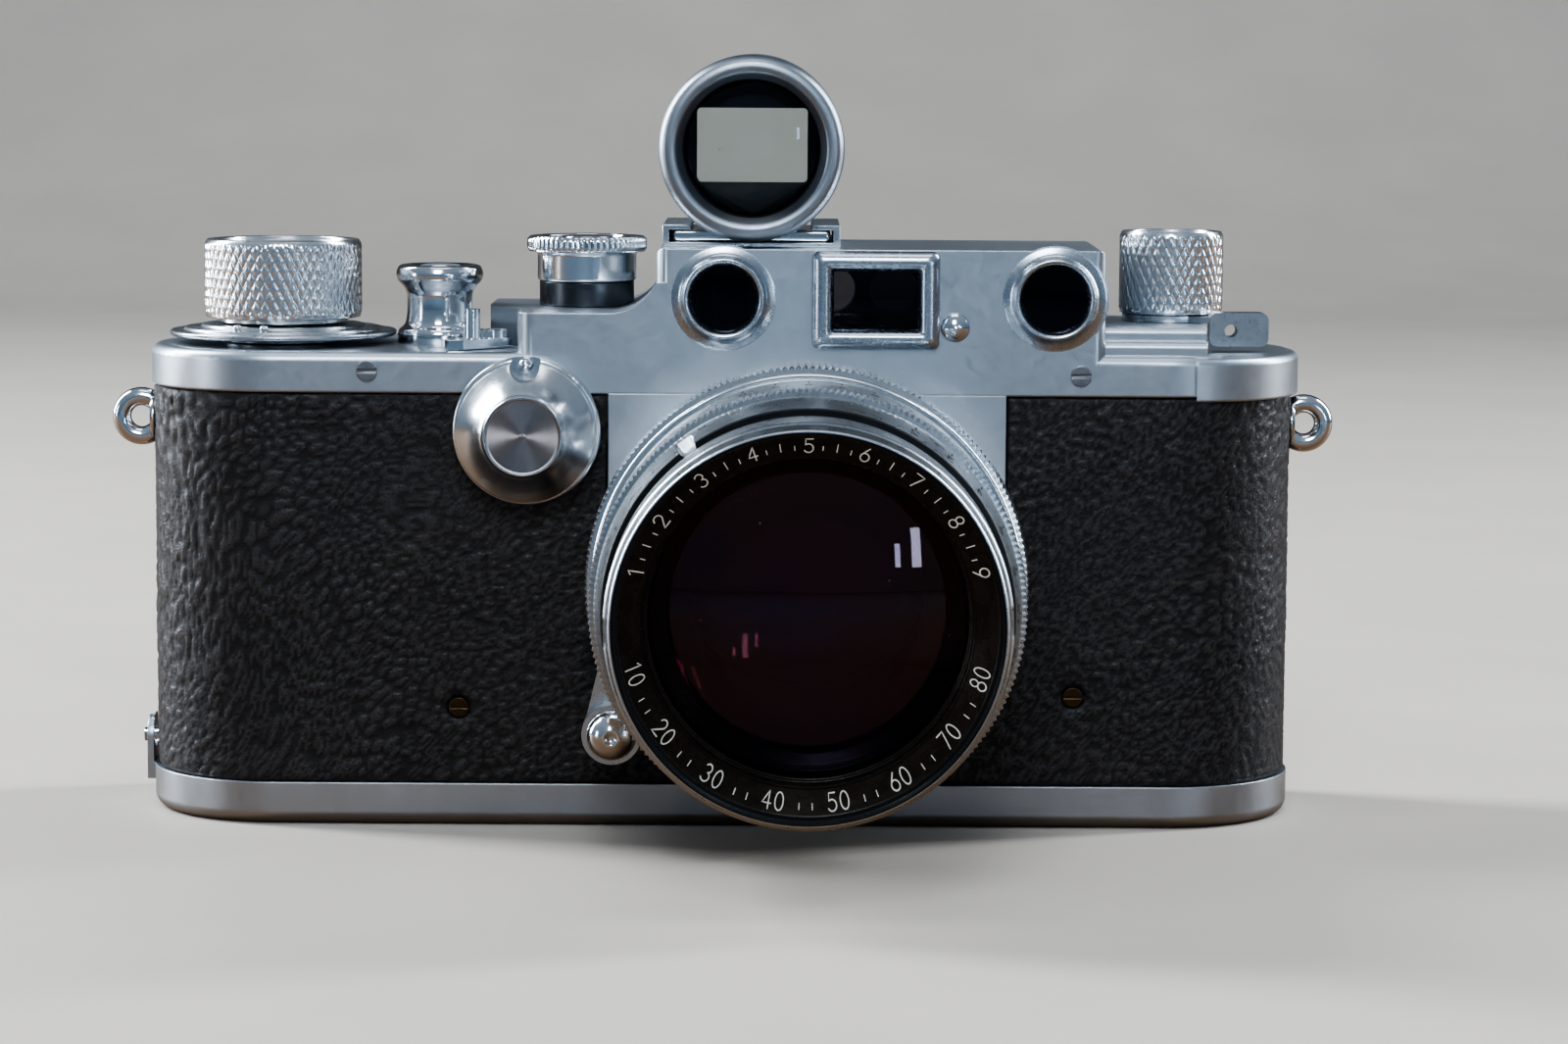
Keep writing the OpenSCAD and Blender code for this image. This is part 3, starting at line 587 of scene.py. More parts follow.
def worley(x, y, seed):
    """Distances to the nearest and second nearest of one jittered point per unit cell."""
    def jitter(ix, iy, k):
        n = np.sin(ix * 127.1 + iy * 311.7 + seed * 17.3 + k * 74.7) * 43758.5453
        return n - np.floor(n)

    cx, cy = np.floor(x), np.floor(y)
    best = np.full(x.shape, 9.0)
    second = np.full(x.shape, 9.0)
    for dx in (-1, 0, 1):
        for dy in (-1, 0, 1):
            ix, iy = cx + dx, cy + dy
            d = np.hypot(ix + jitter(ix, iy, 0) - x, iy + jitter(ix, iy, 1) - y)
            second = np.minimum(second, np.maximum(best, d))
            best = np.minimum(best, d)
    return best, second


def swirl(x, y, scale, seed):
    """Smooth random field between about -1 and 1."""
    total = np.zeros(x.shape)
    rng = np.random.default_rng(seed)
    for _ in range(7):
        a, phase, f = rng.uniform(0, TAU), rng.uniform(0, TAU), scale * rng.uniform(0.6, 1.6)
        total += np.sin((x * math.cos(a) + y * math.sin(a)) * f + phase)
    return total / 3.5


def stadium_point(s, out):
    """Points at distance s along the body's outline, moved outwards by `out`. The distance
    starts in the middle of the back and runs to the left end first."""
    x, y, nx, ny = (np.empty_like(s) for _ in range(4))
    s = (s + STRAIGHT / 2) % (2 * (STRAIGHT + BEND))
    for side, start in ((1, 0), (-1, STRAIGHT + BEND)):
        t = s - start
        here = (t >= 0) & (t < STRAIGHT)
        x[here], y[here] = side * (STRAIGHT / 2 - t[here]), side * BODY_R
        nx[here], ny[here] = 0, side
        here = (t >= STRAIGHT) & (t < STRAIGHT + BEND)
        angle = side * math.pi / 2 + (t[here] - STRAIGHT) / BODY_R
        nx[here], ny[here] = np.cos(angle), np.sin(angle)
        x[here], y[here] = -side * STRAIGHT / 2 + BODY_R * nx[here], BODY_R * ny[here]
    return x + out * nx, y + out * ny


def build_covering():
    """Leather wrapped round the body: pebbled relief, rolled edges and its cut-outs."""
    low, high, step = 5.07, 50.58, 0.37
    reach = 0.62 * step
    apron_r, screw_r = 23.07, 1.2
    front_middle = STRAIGHT + BEND
    # Columns pass exactly through the apron's two upright edges.
    stops = [0, front_middle + LENS[0] - apron_r, front_middle + LENS[0] + apron_r,
             2 * (STRAIGHT + BEND)]
    s = np.concatenate([np.linspace(a, b, max(2, round((b - a) / step)), endpoint=False)
                        for a, b in zip(stops, stops[1:])])
    z = np.linspace(low, high, round((high - low) / step) + 1)
    z[np.argmin(np.abs(z - LENS[1]))] = LENS[1]
    S, Z = np.meshgrid(s, z, indexing="ij")
    X = S - front_middle
    on_front = np.abs(X) < STRAIGHT / 2
    # Round cut-outs: centre and radius. Points within reach of an edge are drawn onto it. The
    # apron's cut-out is round in its lower half only.
    holes = [(*LENS, apron_r), (-30.4, 13.9, screw_r), (41.2, 15.5, screw_r)]
    for cx, cz, radius in holes:
        d = np.hypot(X - cx, Z - cz)
        near = on_front & (np.abs(d - radius) < reach)
        if radius == apron_r:
            near &= Z < LENS[1] - 0.1
        k = np.where(near, radius / np.maximum(d, 1e-6), 1)
        S = np.where(near, S + (X - cx) * (k - 1), S)
        Z = np.where(near, cz + (Z - cz) * k, Z)
        X = S - front_middle
    edge = np.minimum(Z - low, high - Z)
    inside = np.zeros(S.shape, bool)
    for cx, cz, radius in holes:
        d = np.hypot(X - cx, Z - cz) - radius
        if radius == apron_r:
            d = np.where(Z > LENS[1], np.abs(X - cx) - radius, d)
        d = np.where(on_front, d, 99)
        edge = np.minimum(edge, np.maximum(d, 0))
        inside |= d < -0.02
    # Pebbles run in drifts: the pattern is warped, leans, and changes size over the hide.
    u = S + 1.1 * swirl(S, Z, 0.35, 3) + 0.25 * swirl(S, Z, 1.7, 5)
    v = Z + 1.1 * swirl(S, Z, 0.33, 4) + 0.25 * swirl(S, Z, 1.9, 6)
    lean = 0.5 + 0.35 * swirl(S, Z, 0.06, 8)
    a, b = u * np.cos(lean) + v * np.sin(lean), -u * np.sin(lean) + v * np.cos(lean)
    f1, f2 = worley(a * 0.6, b * 0.74, 1)
    pebble = np.clip((f2 - f1) / 0.42, 0, 1)
    pebble = pebble * pebble * (3 - 2 * pebble) * (1.05 - 0.5 * f1 ** 2)
    g1, g2 = worley(a * 1.75 + 7, b * 2.1 + 3, 2)
    small = np.clip((g2 - g1) / 0.5, 0, 1)
    relief = 0.29 * pebble * (0.72 + 0.28 * swirl(S, Z, 0.16, 9)) + 0.03 * small
    relief += 0.02 * swirl(S, Z, 0.9, 10) - 0.155
    border = np.clip(edge / 0.7, 0, 1)
    border = border * (2 - border)
    relief = relief * border - 0.16 * (1 - border) ** 2
    for cx, cz, radius in holes[1:]:
        d = np.hypot(X - cx, Z - cz)
        relief -= np.where(on_front, 0.2 * np.exp(-((d - radius) / 0.7) ** 2), 0)
    x, y = stadium_point(S.ravel(), relief.ravel())
    outer = np.stack([x, y, Z.ravel()], 1)
    rows, cols = S.shape
    faces = []
    ok = ~inside & np.roll(~inside, -1, 0)
    ok = ok[:, :-1] & ok[:, 1:]
    for i, j in zip(*np.nonzero(ok)):
        n = (i + 1) % rows
        faces.append((i * cols + j, n * cols + j, n * cols + j + 1, i * cols + j + 1))
    mesh = bpy.data.meshes.new("covering")
    mesh.from_pydata([tuple(p) for p in outer * MM], [], faces)
    mesh.attributes.new("pebble", "FLOAT", "POINT").data.foreach_set("value", (pebble * border).ravel())
    bm = bmesh.new()
    bm.from_mesh(mesh)
    bmesh.ops.delete(bm, geom=[v for v in bm.verts if not v.link_faces], context="VERTS")
    # The cut edge turns in towards the body.
    rim = [e for e in bm.edges if len(e.link_faces) == 1]
    grown = bmesh.ops.extrude_edge_only(bm, edges=rim)["geom"]
    for vert in (g for g in grown if isinstance(g, bmesh.types.BMVert)):
        p = vert.co / MM
        cx = max(-(BODY_HL - BODY_R), min(BODY_HL - BODY_R, p.x))
        flat = Vector((p.x - cx, p.y, 0))
        inward = flat.normalized() * (BODY_R - 0.5)
        vert.co = Vector((cx + inward.x, inward.y, p.z)) * MM
    bm.to_mesh(mesh)
    bm.free()
    return finish_mesh("leather_covering", mesh, "camera_body", LEATHER, ("body_covering",),
                       "covering", sharp=75, weighted=False)


build_covering()


# ---- controls on the top plate -------------------------------------

lathe("wind_knob_knurled",
      softened([(0, 67.1), (7.85, 67.1, 0.1), (8.05, 67.6, 0.15), (8.95, 67.6, 0.25)])
      + run(9.3, 67.3, 58.7, 66)
      + softened([(9.3, 58.6), (9.0, 58.4, 0.2), (7.6, 58.4, 0.05), (7.6, 57.86, 0.05),
                  (3.05, 57.86, 0), (3.05, 63.0, 0), (0, 63.0)]),
      upright(*WIND), "winder", KNURLED, steps=468, closed=False,
      shape=knurl(52, 1.12, 0.14, 9.3, 58.7, 67.3), replaces=("wind_knob",), slot="bright",
      inner=(lambda c: math.hypot(c.x - WIND[0], c.y) < 7.8 and c.z > 66.9, TURNED_TOP))

lathe("rewind_knob_knurled",
      softened([(0, 68.8), (5.1, 68.8, 0.1), (5.25, 69.2, 0.12), (5.85, 69.2, 0.2)])
      + run(6.15, 68.9, 59.8, 70)
      + softened([(6.15, 59.7), (5.9, 59.5, 0.15), (2.1, 59.5, 0), (2.1, 66.95, 0), (0, 66.95)]),
      upright(*REWIND), "rewind_grip", KNURLED, steps=320, closed=False,
      shape=knurl(34, 1.12, 0.13, 6.15, 59.8, 68.9), replaces=("rewind_knob",), slot="bright",
      inner=(lambda c: math.hypot(c.x - REWIND[0], c.y) < 5.1 and c.z > 68.6, TURNED_TOP))

lathe("counter_dial_turned",
      softened([(3.4, 55.52), (7.0, 55.52, 0.1), (7.0, 56.2, 0.1), (13.1, 56.2, 0.1),
                (13.4, 56.45, 0.12), (13.4, 56.75, 0.12), (13.25, 56.9, 0.08), (11.75, 56.9, 0.1),
                (11.6, 57.25, 0.12), (9.7, 57.25, 0.1), (9.55, 57.6, 0.12), (3.4, 57.6, 0.1),
                (3.4, 55.52)]),
      upright(*WIND), "counter", SATIN_FINE, steps=160, replaces=("counter_dial",), slot="chrome")
for i, px in enumerate((-4.2, -1.0)):
    lathe(f"counter_pin_{i + 1}",
          softened([(0, 58.0), (0.38, 57.95, 0.1), (0.55, 57.7, 0.15), (0.5, 57.35, 0.1),
                    (0.55, 56.9, 0.05), (0, 56.9)]),
          upright(WIND[0] + px, -math.sqrt(123 - px * px)), "counter", BRIGHT, steps=28,
          closed=False, slot="bright")

lathe("release_collar_flared",
      softened([(3.05, 55.4), (5.0, 55.4, 0.05), (5.0, 56.9, 0.45), (4.1, 57.6, 0.5),
                (3.85, 59.0, 0.6), (3.85, 61.6, 0.9), (5.05, 62.9, 0.6), (5.2, 63.7, 0.5),
                (4.85, 64.6, 0.45), (4.1, 64.75, 0.3), (3.4, 64.3, 0.4), (3.05, 63.3, 0.3),
                (3.05, 55.4)], steps=6),
      upright(*RELEASE), "camera_body", BRIGHT, steps=96, replaces=("release_collar",),
      slot="bright")

lathe("speed_dial_turned",
      softened([(0, 68.2), (2.9, 68.2, 0.1), (3.0, 68.0, 0.05), (5.2, 68.0, 0.05),
                (5.3, 68.2, 0.1), (6.75, 68.2, 0.25)])
      + run(7.1, 67.9, 66.7, 6)
      + softened([(7.1, 66.6), (6.9, 66.4, 0.15), (6.1, 66.4, 0.2), (5.85, 66.1, 0.2),
                  (5.85, 63.15, 0.15), (5.7, 62.96, 0.1), (2.27, 62.96, 0), (2.27, 67.46, 0),
                  (0, 67.46)]),
      upright(*SPEED), "speed_setting", BRIGHT, steps=360, closed=False,
      shape=teeth(60, 0.16, 6.95, 66.5, 68.1), replaces=("speed_dial",), slot="bright")

# The slow dial's lathe-turned face, in its recess.
lathe("slow_dial_face",
      softened([(0, 24.50), (0.25, 24.46, 0.1), (0.4, 24.43, 0.1), (4.1, 24.43, 0.08),
                (4.32, 24.50, 0.06), (4.36, 24.405)]),
      facing(*SLOW), "slow_setting", FACED, steps=96, closed=False, slot="steel",
      weighted=False)

for i, (wx, wz) in enumerate(WINDOWS):
    lathe(f"window_collar_{'ab'[i]}",
          softened([(6.2, 15.88), (5.9, 15.92, 0.3), (5.0, 16.25, 0.8), (4.62, 17.0, 0.35),
                    (4.4, 17.04, 0.15), (4.15, 16.95, 0.2), (3.78, 16.3, 0.4), (3.72, 15.35, 0.05),
                    (4.3, 15.32, 0.05), (4.3, 15.85, 0), (6.2, 15.88)], steps=6),
          facing(wx, wz), "camera_body", SMOOTH_SATIN, steps=112,
          replaces=("window_collars",), slot="bright")

loft("viewfinder_frame",
     [(14.8, 11.4, 0.9, 15.89), (14.7, 11.3, 0.9, 16.3), (14.3, 10.9, 0.85, 16.75),
      (13.5, 10.15, 0.7, 17.1), (12.6, 9.4, 0.55, 17.26), (11.6, 8.45, 0.45, 17.28),
      (10.9, 7.8, 0.35, 17.15), (10.3, 7.2, 0.3, 16.8), (9.85, 6.75, 0.2, 16.2),
      (9.7, 6.6, 0.15, 15.6), (9.7, 6.6, 0.15, 15.55), (12.0, 9.0, 0.3, 15.89)],
     facing(17.85, 61.7), "camera_body", SMOOTH_SATIN, replaces=("viewfinder_bezel",),
     slot="bright")


# ---- accessory finder ----------------------------------------------

def block_mesh(name, corner_a, corner_b, corner, place, body, material, **rest):
    """Rounded-edge block between two corners, lofted along local Z."""
    (x0, y0, z0), (x1, y1, z1) = corner_a, corner_b
    w, d, e = x1 - x0, y1 - y0, min(0.25, (z1 - z0) / 3)
    centre = Matrix.Translation(((x0 + x1) / 2, (y0 + y1) / 2, 0))
    sections = [(0.02, 0.02, 0.005, z0), (w - 2 * e, d - 2 * e, corner, z0),
                (w - 0.6 * e, d - 0.6 * e, corner, z0 + 0.3 * e), (w, d, corner, z0 + e),
                (w, d, corner, z1 - e), (w - 0.6 * e, d - 0.6 * e, corner, z1 - 0.3 * e),
                (w - 2 * e, d - 2 * e, corner, z1), (0.02, 0.02, 0.005, z1)]
    return loft(name, sections, place @ centre, body, material, closed=False, **rest)


lathe("finder_barrel",
      softened([(7.9, -6.9), (8.3, -7.0, 0), (8.3, -15, 0.1), (8.7, -15, 0.1), (9.2, -14.9, 0.2),
                (9.3, -14.4, 0.2), (9.3, -9.1, 0.1), (9.6, -9, 0.1), (10.3, -9, 0.4),
                (10.75, -8.4, 0.4), (10.75, 12.6, 0.2), (10.6, 12.8, 0.1), (10.6, 13.1, 0.1),
                (10.75, 13.3, 0.2), (10.75, 14.9, 0.7), (10.1, 15.85, 0.5), (9.3, 16.0, 0.25),
                (8.75, 15.8, 0.2), (8.1, 14.9, 0.2), (7.9, 14.6, 0.1), (7.9, -6.9)], steps=5),
      facing(*FINDER), "finder", FINDER_SATIN, steps=192, replaces=("finder_body",),
      slot="chrome",
      inner=(lambda c: math.hypot(c.x - FINDER[0], c.z - FINDER[1]) < 8.32 and abs(c.y) < 14.7,
             MATT_BLACK))
block_mesh("finder_foot", (-5.2, -11.5, 69.0), (5.2, 6.0, 70.9), 0.4,
           Matrix.Translation((FINDER[0], 0, 0)), "finder", SATIN_FINE, slot="chrome")
block_mesh("finder_slide_plate", (-9.2, -11.5, 68.19), (9.2, 6.0, 69.38), 0.5,
           Matrix.Translation((FINDER[0], 0, 0)), "finder", BRIGHT, slot="chrome")


# ---- lens ----------------------------------------------------------

AXIS = facing(*LENS)

lathe("focus_ring_milled",
      softened([(20.65, 22.7), (23.0, 22.7, 0.1), (23.2, 22.95, 0.15), (23.2, 30.4, 0.1),
                (23.6, 30.6, 0.1), (23.6, 31.25, 0.15), (24.0, 31.4, 0.1)])
      + run(24.75, 31.5, 37.5, 12)
      + softened([(24.0, 37.65), (23.7, 37.75, 0.1), (24.0, 38.0, 0.15), (24.0, 38.75, 0.2),
                  (23.7, 39.0, 0.1), (20.65, 39.0, 0), (20.65, 22.7)]),
      AXIS, "focuser", KNURLED, steps=1248, shape=teeth(208, 0.36, 24.2, 31.4, 37.6),
      replaces=("focus_ring",), slot="chrome")

lathe("front_barrel_turned",
      softened([(14.2, 13.35), (18.55, 13.35, 0.1), (18.55, 39.1, 0), (23.0, 39.1, 0.1),
                (23.3, 39.4, 0.2), (23.3, 43.3, 0.05), (23.15, 43.4, 0.05), (23.15, 43.6, 0.05),
                (23.3, 43.7, 0.05), (23.3, 50.9, 0.25), (22.9, 51.3, 0.2), (20.5, 51.3, 0),
                (20.5, 60.95, 0), (17.4, 60.95, 0)])
      + grooves(17.4, 17.0, 60.5, 48.0, 14)
      + softened([(17.4, 47.5), (17.4, 41.0, 0), (14.2, 41.0, 0), (14.2, 13.35)]),
      AXIS, "lens_head", SATIN_FINE, steps=192, replaces=("front_barrel",), slot="chrome",
      inner=(lambda c: math.hypot(c.x - LENS[0], c.z - LENS[1]) < 18.0, MATT_BLACK))


def aperture_shape(theta, r, z):
    """Milled band at the back, smooth cone in front with its index notch."""
    r, z = teeth(208, 0.34, 23.1, 51.4, 55.4)(theta, r, z)
    off = np.abs((theta - math.radians(126) + math.pi) % TAU - math.pi) * 22.4
    notch = np.clip((1.05 - off) / 0.25, 0, 1) * np.clip((z - 57.3) / 0.4, 0, 1)
    return np.where(r > 21.2, r - 0.75 * notch, r), z


lathe("aperture_ring_milled",
      softened([(20.55, 51.4), (22.9, 51.42, 0.1), (23.0, 51.45, 0.05)])
      + run(23.6, 51.55, 55.2, 9)
      + softened([(23.0, 55.35), (22.65, 55.45, 0.1), (22.9, 55.75, 0.15)])
      + run(22.85, 56.0, 60.2, 14, 22.05)
      + softened([(22.05, 60.22), (21.9, 60.4, 0.1), (21.3, 60.45, 0.05), (21.25, 60.9, 0.05),
                  (20.55, 60.95, 0), (20.55, 51.4)]),
      AXIS, "aperture", SATIN_FINE, steps=1248, shape=aperture_shape,
      replaces=("aperture_ring",), slot="chrome",
      inner=(lambda c: c.y < -60.15, BLACK))


def rim_shape(theta, r, z):
    """The two key notches in the edge of the front rim."""
    along = np.abs(np.sin(theta - math.radians(2))) * 21.3
    notch = np.clip((1.3 - along) / 0.12, 0, 1) * np.clip((z - 68.5) / 0.1, 0, 1)
    return np.where(r > 21.05, r - (r - 21.05) * notch, r), z


lathe("front_rim_threaded",
      softened([(17.5, 61.0), (20.9, 61.0, 0), (20.9, 62.0, 0.05), (21.2, 62.02, 0.05),
                (21.4, 62.2, 0.15), (21.4, 63.0, 0.05), (21.31, 63.08, 0.04), (21.31, 63.2, 0.04),
                (21.4, 63.3, 0.05)])
      + run(21.4, 63.5, 69.2, 10)
      + softened([(21.4, 69.3, 0), (21.3, 69.5, 0.08), (21.15, 69.75, 0.05), (20.8, 71.35, 0.1),
                  (20.62, 71.58, 0.08), (20.5, 71.58, 0.05)])
      + grooves(20.35, 20.62, 71.45, 69.5, 5)
      + softened([(20.35, 69.4), (20.35, 69.2, 0.05), (19.97, 69.18, 0), (19.97, 64.0, 0),
                  (17.5, 64.0, 0), (17.5, 61.0)]),
      AXIS, "lens_head", SATIN_FINE, steps=360, shape=rim_shape, replaces=("front_rim",),
      slot="chrome",
      inner=(lambda c: math.hypot(c.x - LENS[0], c.z - LENS[1]) < 20.64 and c.y > -71.5,
             BLACK))


lathe("name_ring_stepped",
      softened([(19.95, 64.02), (19.95, 69.1, 0.04), (19.85, 69.05, 0.05), (17.55, 66.2, 0.06),
                (17.5, 65.4, 0.05), (17.42, 65.35, 0.03), (17.4, 64.6, 0.03), (17.35, 64.55, 0.03),
                (17.28, 63.4, 0.03), (17.18, 63.35, 0.03), (17.1, 62.9, 0.03), (17.0, 62.85, 0.03),
                (16.9, 62.2, 0), (17.45, 61.75, 0), (17.45, 64.02, 0), (19.95, 64.02)]),
      AXIS, "lens_head", NAME_BLACK, steps=256, replaces=("name_ring",), slot="black")


def cap(radius, ball, height, count=22):
    """Profile of a spherical cap that rises to `height` on the axis."""
    reach = [radius * i / count for i in range(count + 1)]
    return [(r, height - ball + math.sqrt(ball * ball - r * r)) for r in reach]


lathe("front_glass",
      cap(17.3, 55, 64.28) + [(17.3, 57.6)]
      + [(r, 55.9 + 1.7 * (r / 17.3) ** 2) for r in (13.0, 9.0, 5.0, 2.0, 0.0)],
      AXIS, "lens_head", FRONT_GLASS, steps=128, closed=False, replaces=("front_element",),
      slot="glass", weighted=False)
lathe("inner_glass",
      [(r, 50.0 + 5.0 * (r / 16.8) ** 2) for r in np.linspace(0, 16.8, 20)]
      + [(16.8, 46.5)] + [(r, 46.0) for r in (16.0, 8.0, 0.0)],
      AXIS, "lens_head", INNER_GLASS, steps=112, closed=False, slot="glass", weighted=False)


# ---- engraved scales: generic marks only ---------------------------

def above_name_ring(r):
    """Height just clear of the black ring's sloping face."""
    return 66.235 + (r - 17.55) / 2.3 * 2.85


def scale_on_name_ring():
    """1 to 9 round the top with their heads out, 10 to 80 below with their heads in."""
    marks = []
    for i in range(9):
        a = 163 - i * 18.2
        marks.append((number(str(i + 1), 1.6), 0.15, on_ring(AXIS, a, 18.0, above_name_ring)))
        for k, length in ((0.25, 0.5), (0.5, 0.9), (0.75, 0.5)) if i < 8 else ():
            marks.append((tick(length), 0.12, on_ring(AXIS, a - 18.2 * k, 18.3, above_name_ring)))
    for i in range(8):
        a = 196 + i * 21.0
        marks.append((number(str(10 * (i + 1)), 1.6), 0.15,
                      on_ring(AXIS, a, 19.55, above_name_ring, heads_out=False)))
        for k in (0.4, 0.6) if i < 7 else ():
            marks.append((tick(0.55), 0.12,
                          on_ring(AXIS, a + 21.0 * k, 19.3, above_name_ring, heads_out=False)))
    engrave("name_ring_marks", marks, "lens_head", IVORY, "black")


def drum_scale(labels, first, pitch, radius, size, width, number_at, tick_at, tick_length):
    """Marks of a lens scale: a number and a tick every `pitch` degrees from `first`."""
    marks = []
    for i, label in enumerate(labels):
        a = first + i * pitch
        marks.append((number(label, size), width, on_drum(AXIS, a, radius, number_at)))
        marks.append((tick(tick_length), 0.16, on_drum(AXIS, a, radius, tick_at)))
    return marks


def above_cone(h):
    """Radius just clear of the aperture ring's cone."""
    return 22.90 - (h - 55.9) * 0.1945


scale_on_name_ring()

marks = drum_scale(("1", "2", "4", "6", "8", "10", "15", "30"), 40, 15, 23.215, 1.5, 0.2,
                   number_at=26.4, tick_at=29.9, tick_length=1.3)
engrave("distance_scale", marks, "focuser", INK, "black")

marks = drum_scale(("16", "8", "4", "", "4", "8", "16"), 63, 9, 23.315, 1.4, 0.18,
                   number_at=46.2, tick_at=42.7, tick_length=1.3)
marks.append(([arc(0, 0.35, 0.35, 0.35, 0, 360, 16)], 0.3, on_drum(AXIS, 90, 23.315, 45.6)))
engrave("depth_scale", marks, "lens_head", INK, "black")

marks = drum_scale(("2", "3", "4", "6", "9", "12", "16"), 60, -12, above_cone, 1.5, 0.2,
                   number_at=59.4, tick_at=57.4, tick_length=0.9)
engrave("aperture_scale", marks, "aperture", INK, "black")

top = upright(*SPEED)
marks = [(number(label, 0.95), 0.13, on_ring(top, 90 - i * 42, 5.55, 68.225))
         for i, label in enumerate(("2", "4", "6", "10", "20", "40", "60", "100"))]
marks.append(([[(-0.5, 0.0), (0, 0.9), (0.5, 0.0)], [(0, 0.9), (0, -1.4)]], 0.2,
              on_ring(top, 90, 1.6, 68.225)))
engrave("speed_scale", marks, "speed_setting", INK, "black")

marks = []
top = upright(*WIND)
for i in range(40):
    a = 90 - i * 9
    marks.append((tick(0.95 if i % 5 == 0 else 0.6), 0.13, on_ring(top, a, 12.2, 56.925)))
    if i % 5 == 0:
        marks.append((number(str(i), 1.15), 0.15, on_ring(top, a, 10.05, 57.275)))
engrave("counter_scale", marks, "counter", INK, "black")

flat = on_knob_top(WIND, 67.13)
marks = [([arc(0, 0, 5.6, 5.6, 200, 340, 40)], 0.3, flat),
         ([[(5.1, -3.2), (5.26, -1.92), (4.1, -2.6)]], 0.3, flat)]
engrave("wind_arrow", marks, "winder", INK, "black")
flat = on_knob_top(REWIND, 68.83, -1)
marks = [([arc(0, 0, 3.5, 3.5, 200, 340, 30)], 0.25, flat),
         ([[(3.0, -2.1), (3.29, -1.2), (2.35, -1.45)]], 0.25, flat)]
engrave("rewind_arrow", marks, "rewind_grip", INK, "black")


# ---- CAD nodes that keep their shape -------------------------------

KEPT = {
    SATIN: ("top_cover", "base_plate"),
    SATIN_FINE: ("lens_base", "infinity_lock", "diopter_lever", "accessory_shoe", "base_key",
                 "eyepiece_block"),
    BRIGHT: ("strap_lugs", "base_stud", "lens_mount", "adjuster_cap", "release_button",
             "rewind_lever", "slow_dial_button", "infinity_button", "base_key_flap"),
    STEEL: ("cover_screws", "wind_shaft", "sprocket_shaft", "shutter_drum", "rewind_shaft", "rf_arm",
            "locking_bolt"),
    # Painted shade: the bush under the speed dial is coloured dark.
    STEEL_PAINTED_SHADE: ("speed_bush",),
    TURNED_DOME: ("slow_speed_dial",),
    # Painted shade: the recessed covering screws are coloured dark.
    BRASS: ("covering_screws",),
    BUSH_BRASS: ("tripod_bush",),
    BLUED: tuple(f"iris_blade_{i + 1}" for i in range(5)),
    BLACK: ("body_shell", "take_up_spool", "pressure_plate"),
    MATT_BLACK: ("finder_mask", "shutter_crate"),
    CLOTH: ("shutter_curtains",),
    INNER_GLASS: ("rear_element",),
    WINDOW_GLASS: ("rf_windows", "viewfinder_glass", "eyepiece_lens"),
    THIN_GLASS: ("finder_front_lens", "finder_eye_lens"),
}
# Width in mm of the rounding asked for on each node's sharp edges. It is clamped where a node
# has very short edges, down to a hair line on the top cover, and then only keeps faces flat.
ROUNDED = {
    "top_cover": 0.18, "base_plate": 0.15, "accessory_shoe": 0.12, "diopter_lever": 0.12,
    "rewind_lever": 0.12, "infinity_lock": 0.12, "base_key": 0.1, "eyepiece_block": 0.2,
    "base_key_flap": 0.08, "cover_screws": 0.06, "covering_screws": 0.05, "speed_bush": 0.1,
    "slow_speed_dial": 0.1, "lens_mount": 0.1, "tripod_bush": 0.12,
}

for material, names in KEPT.items():
    for name in names:
        obj = NODES[name]
        obj.data.materials.clear()
        obj.data.materials.append(material)
        obj.data.polygons.foreach_set("use_smooth", [True] * len(obj.data.polygons))
        obj.modifiers.new("weld", "WELD").merge_threshold = 2e-6
        if name in ROUNDED:
            flat = obj.modifiers.new("merge_flats", "DECIMATE")
            flat.decimate_type = "DISSOLVE"
            flat.angle_limit = math.radians(0.6)
            bevel = obj.modifiers.new("edges", "BEVEL")
            bevel.limit_method = "ANGLE"
            bevel.angle_limit = math.radians(35)
            bevel.width = ROUNDED[name] * MM
            bevel.segments = 3
            bevel.miter_outer = "MITER_ARC"
        obj.modifiers.new("normals", "WEIGHTED_NORMAL").keep_sharp = True


# ---- stage ---------------------------------------------------------

def floor_material():
    """Pale to the eye; glossy rays see painted reflection colours instead, a dimmer table, warm brown
    near the object, cool blue-grey ahead and grey behind.
    """
    g = Graph("pale_floor")
    pale = g.mix(g.remap(g.noise(0.02, 3), 0.3, 0.7), (0.60, 0.545, 0.485), (0.64, 0.58, 0.515))
    split = g.node("ShaderNodeSeparateXYZ")
    g.link(g.mm, split.inputs[0])
    y = split.outputs["Y"]
    # Painted reflection: colours that only glossy rays see, warm brown near the object, cool blue-grey
    # far ahead, grey far behind.
    ahead = g.mix(g.remap(y, -150, -400), (0.20, 0.125, 0.075), (0.125, 0.175, 0.225))
    behind = g.mix(g.remap(y, 150, 700), (0.20, 0.125, 0.075), (0.17, 0.165, 0.16))
    mirrored = g.mix(g.remap(y, -40, 40), ahead, behind)
    ray = g.node("ShaderNodeLightPath")
    g.set(Base_Color=g.mix(ray.outputs["Is Glossy Ray"], pale, mirrored), Roughness=0.6,
          Specular_IOR_Level=0.15)
    return g.mat


def build_floor():
    """Pale sweep: flat floor that curves up far behind."""
    pts = [(-1.6, 0.0), (0.9, 0.0)]
    pts += [(0.9 + 0.5 * math.sin(math.radians(a)), 0.5 - 0.5 * math.cos(math.radians(a)))
            for a in range(6, 91, 6)]
    pts += [(1.4, 2.2)]
    verts = [(x, y, z - 0.00002) for y, z in pts for x in (-3.2, 3.2)]
    faces = [(2 * i, 2 * i + 1, 2 * i + 3, 2 * i + 2) for i in range(len(pts) - 1)]
    mesh = bpy.data.meshes.new("floor")
    mesh.from_pydata(verts, [], faces)
    for p in mesh.polygons:
        p.use_smooth = True
    mesh.materials.append(floor_material())
    add_object("floor", mesh)


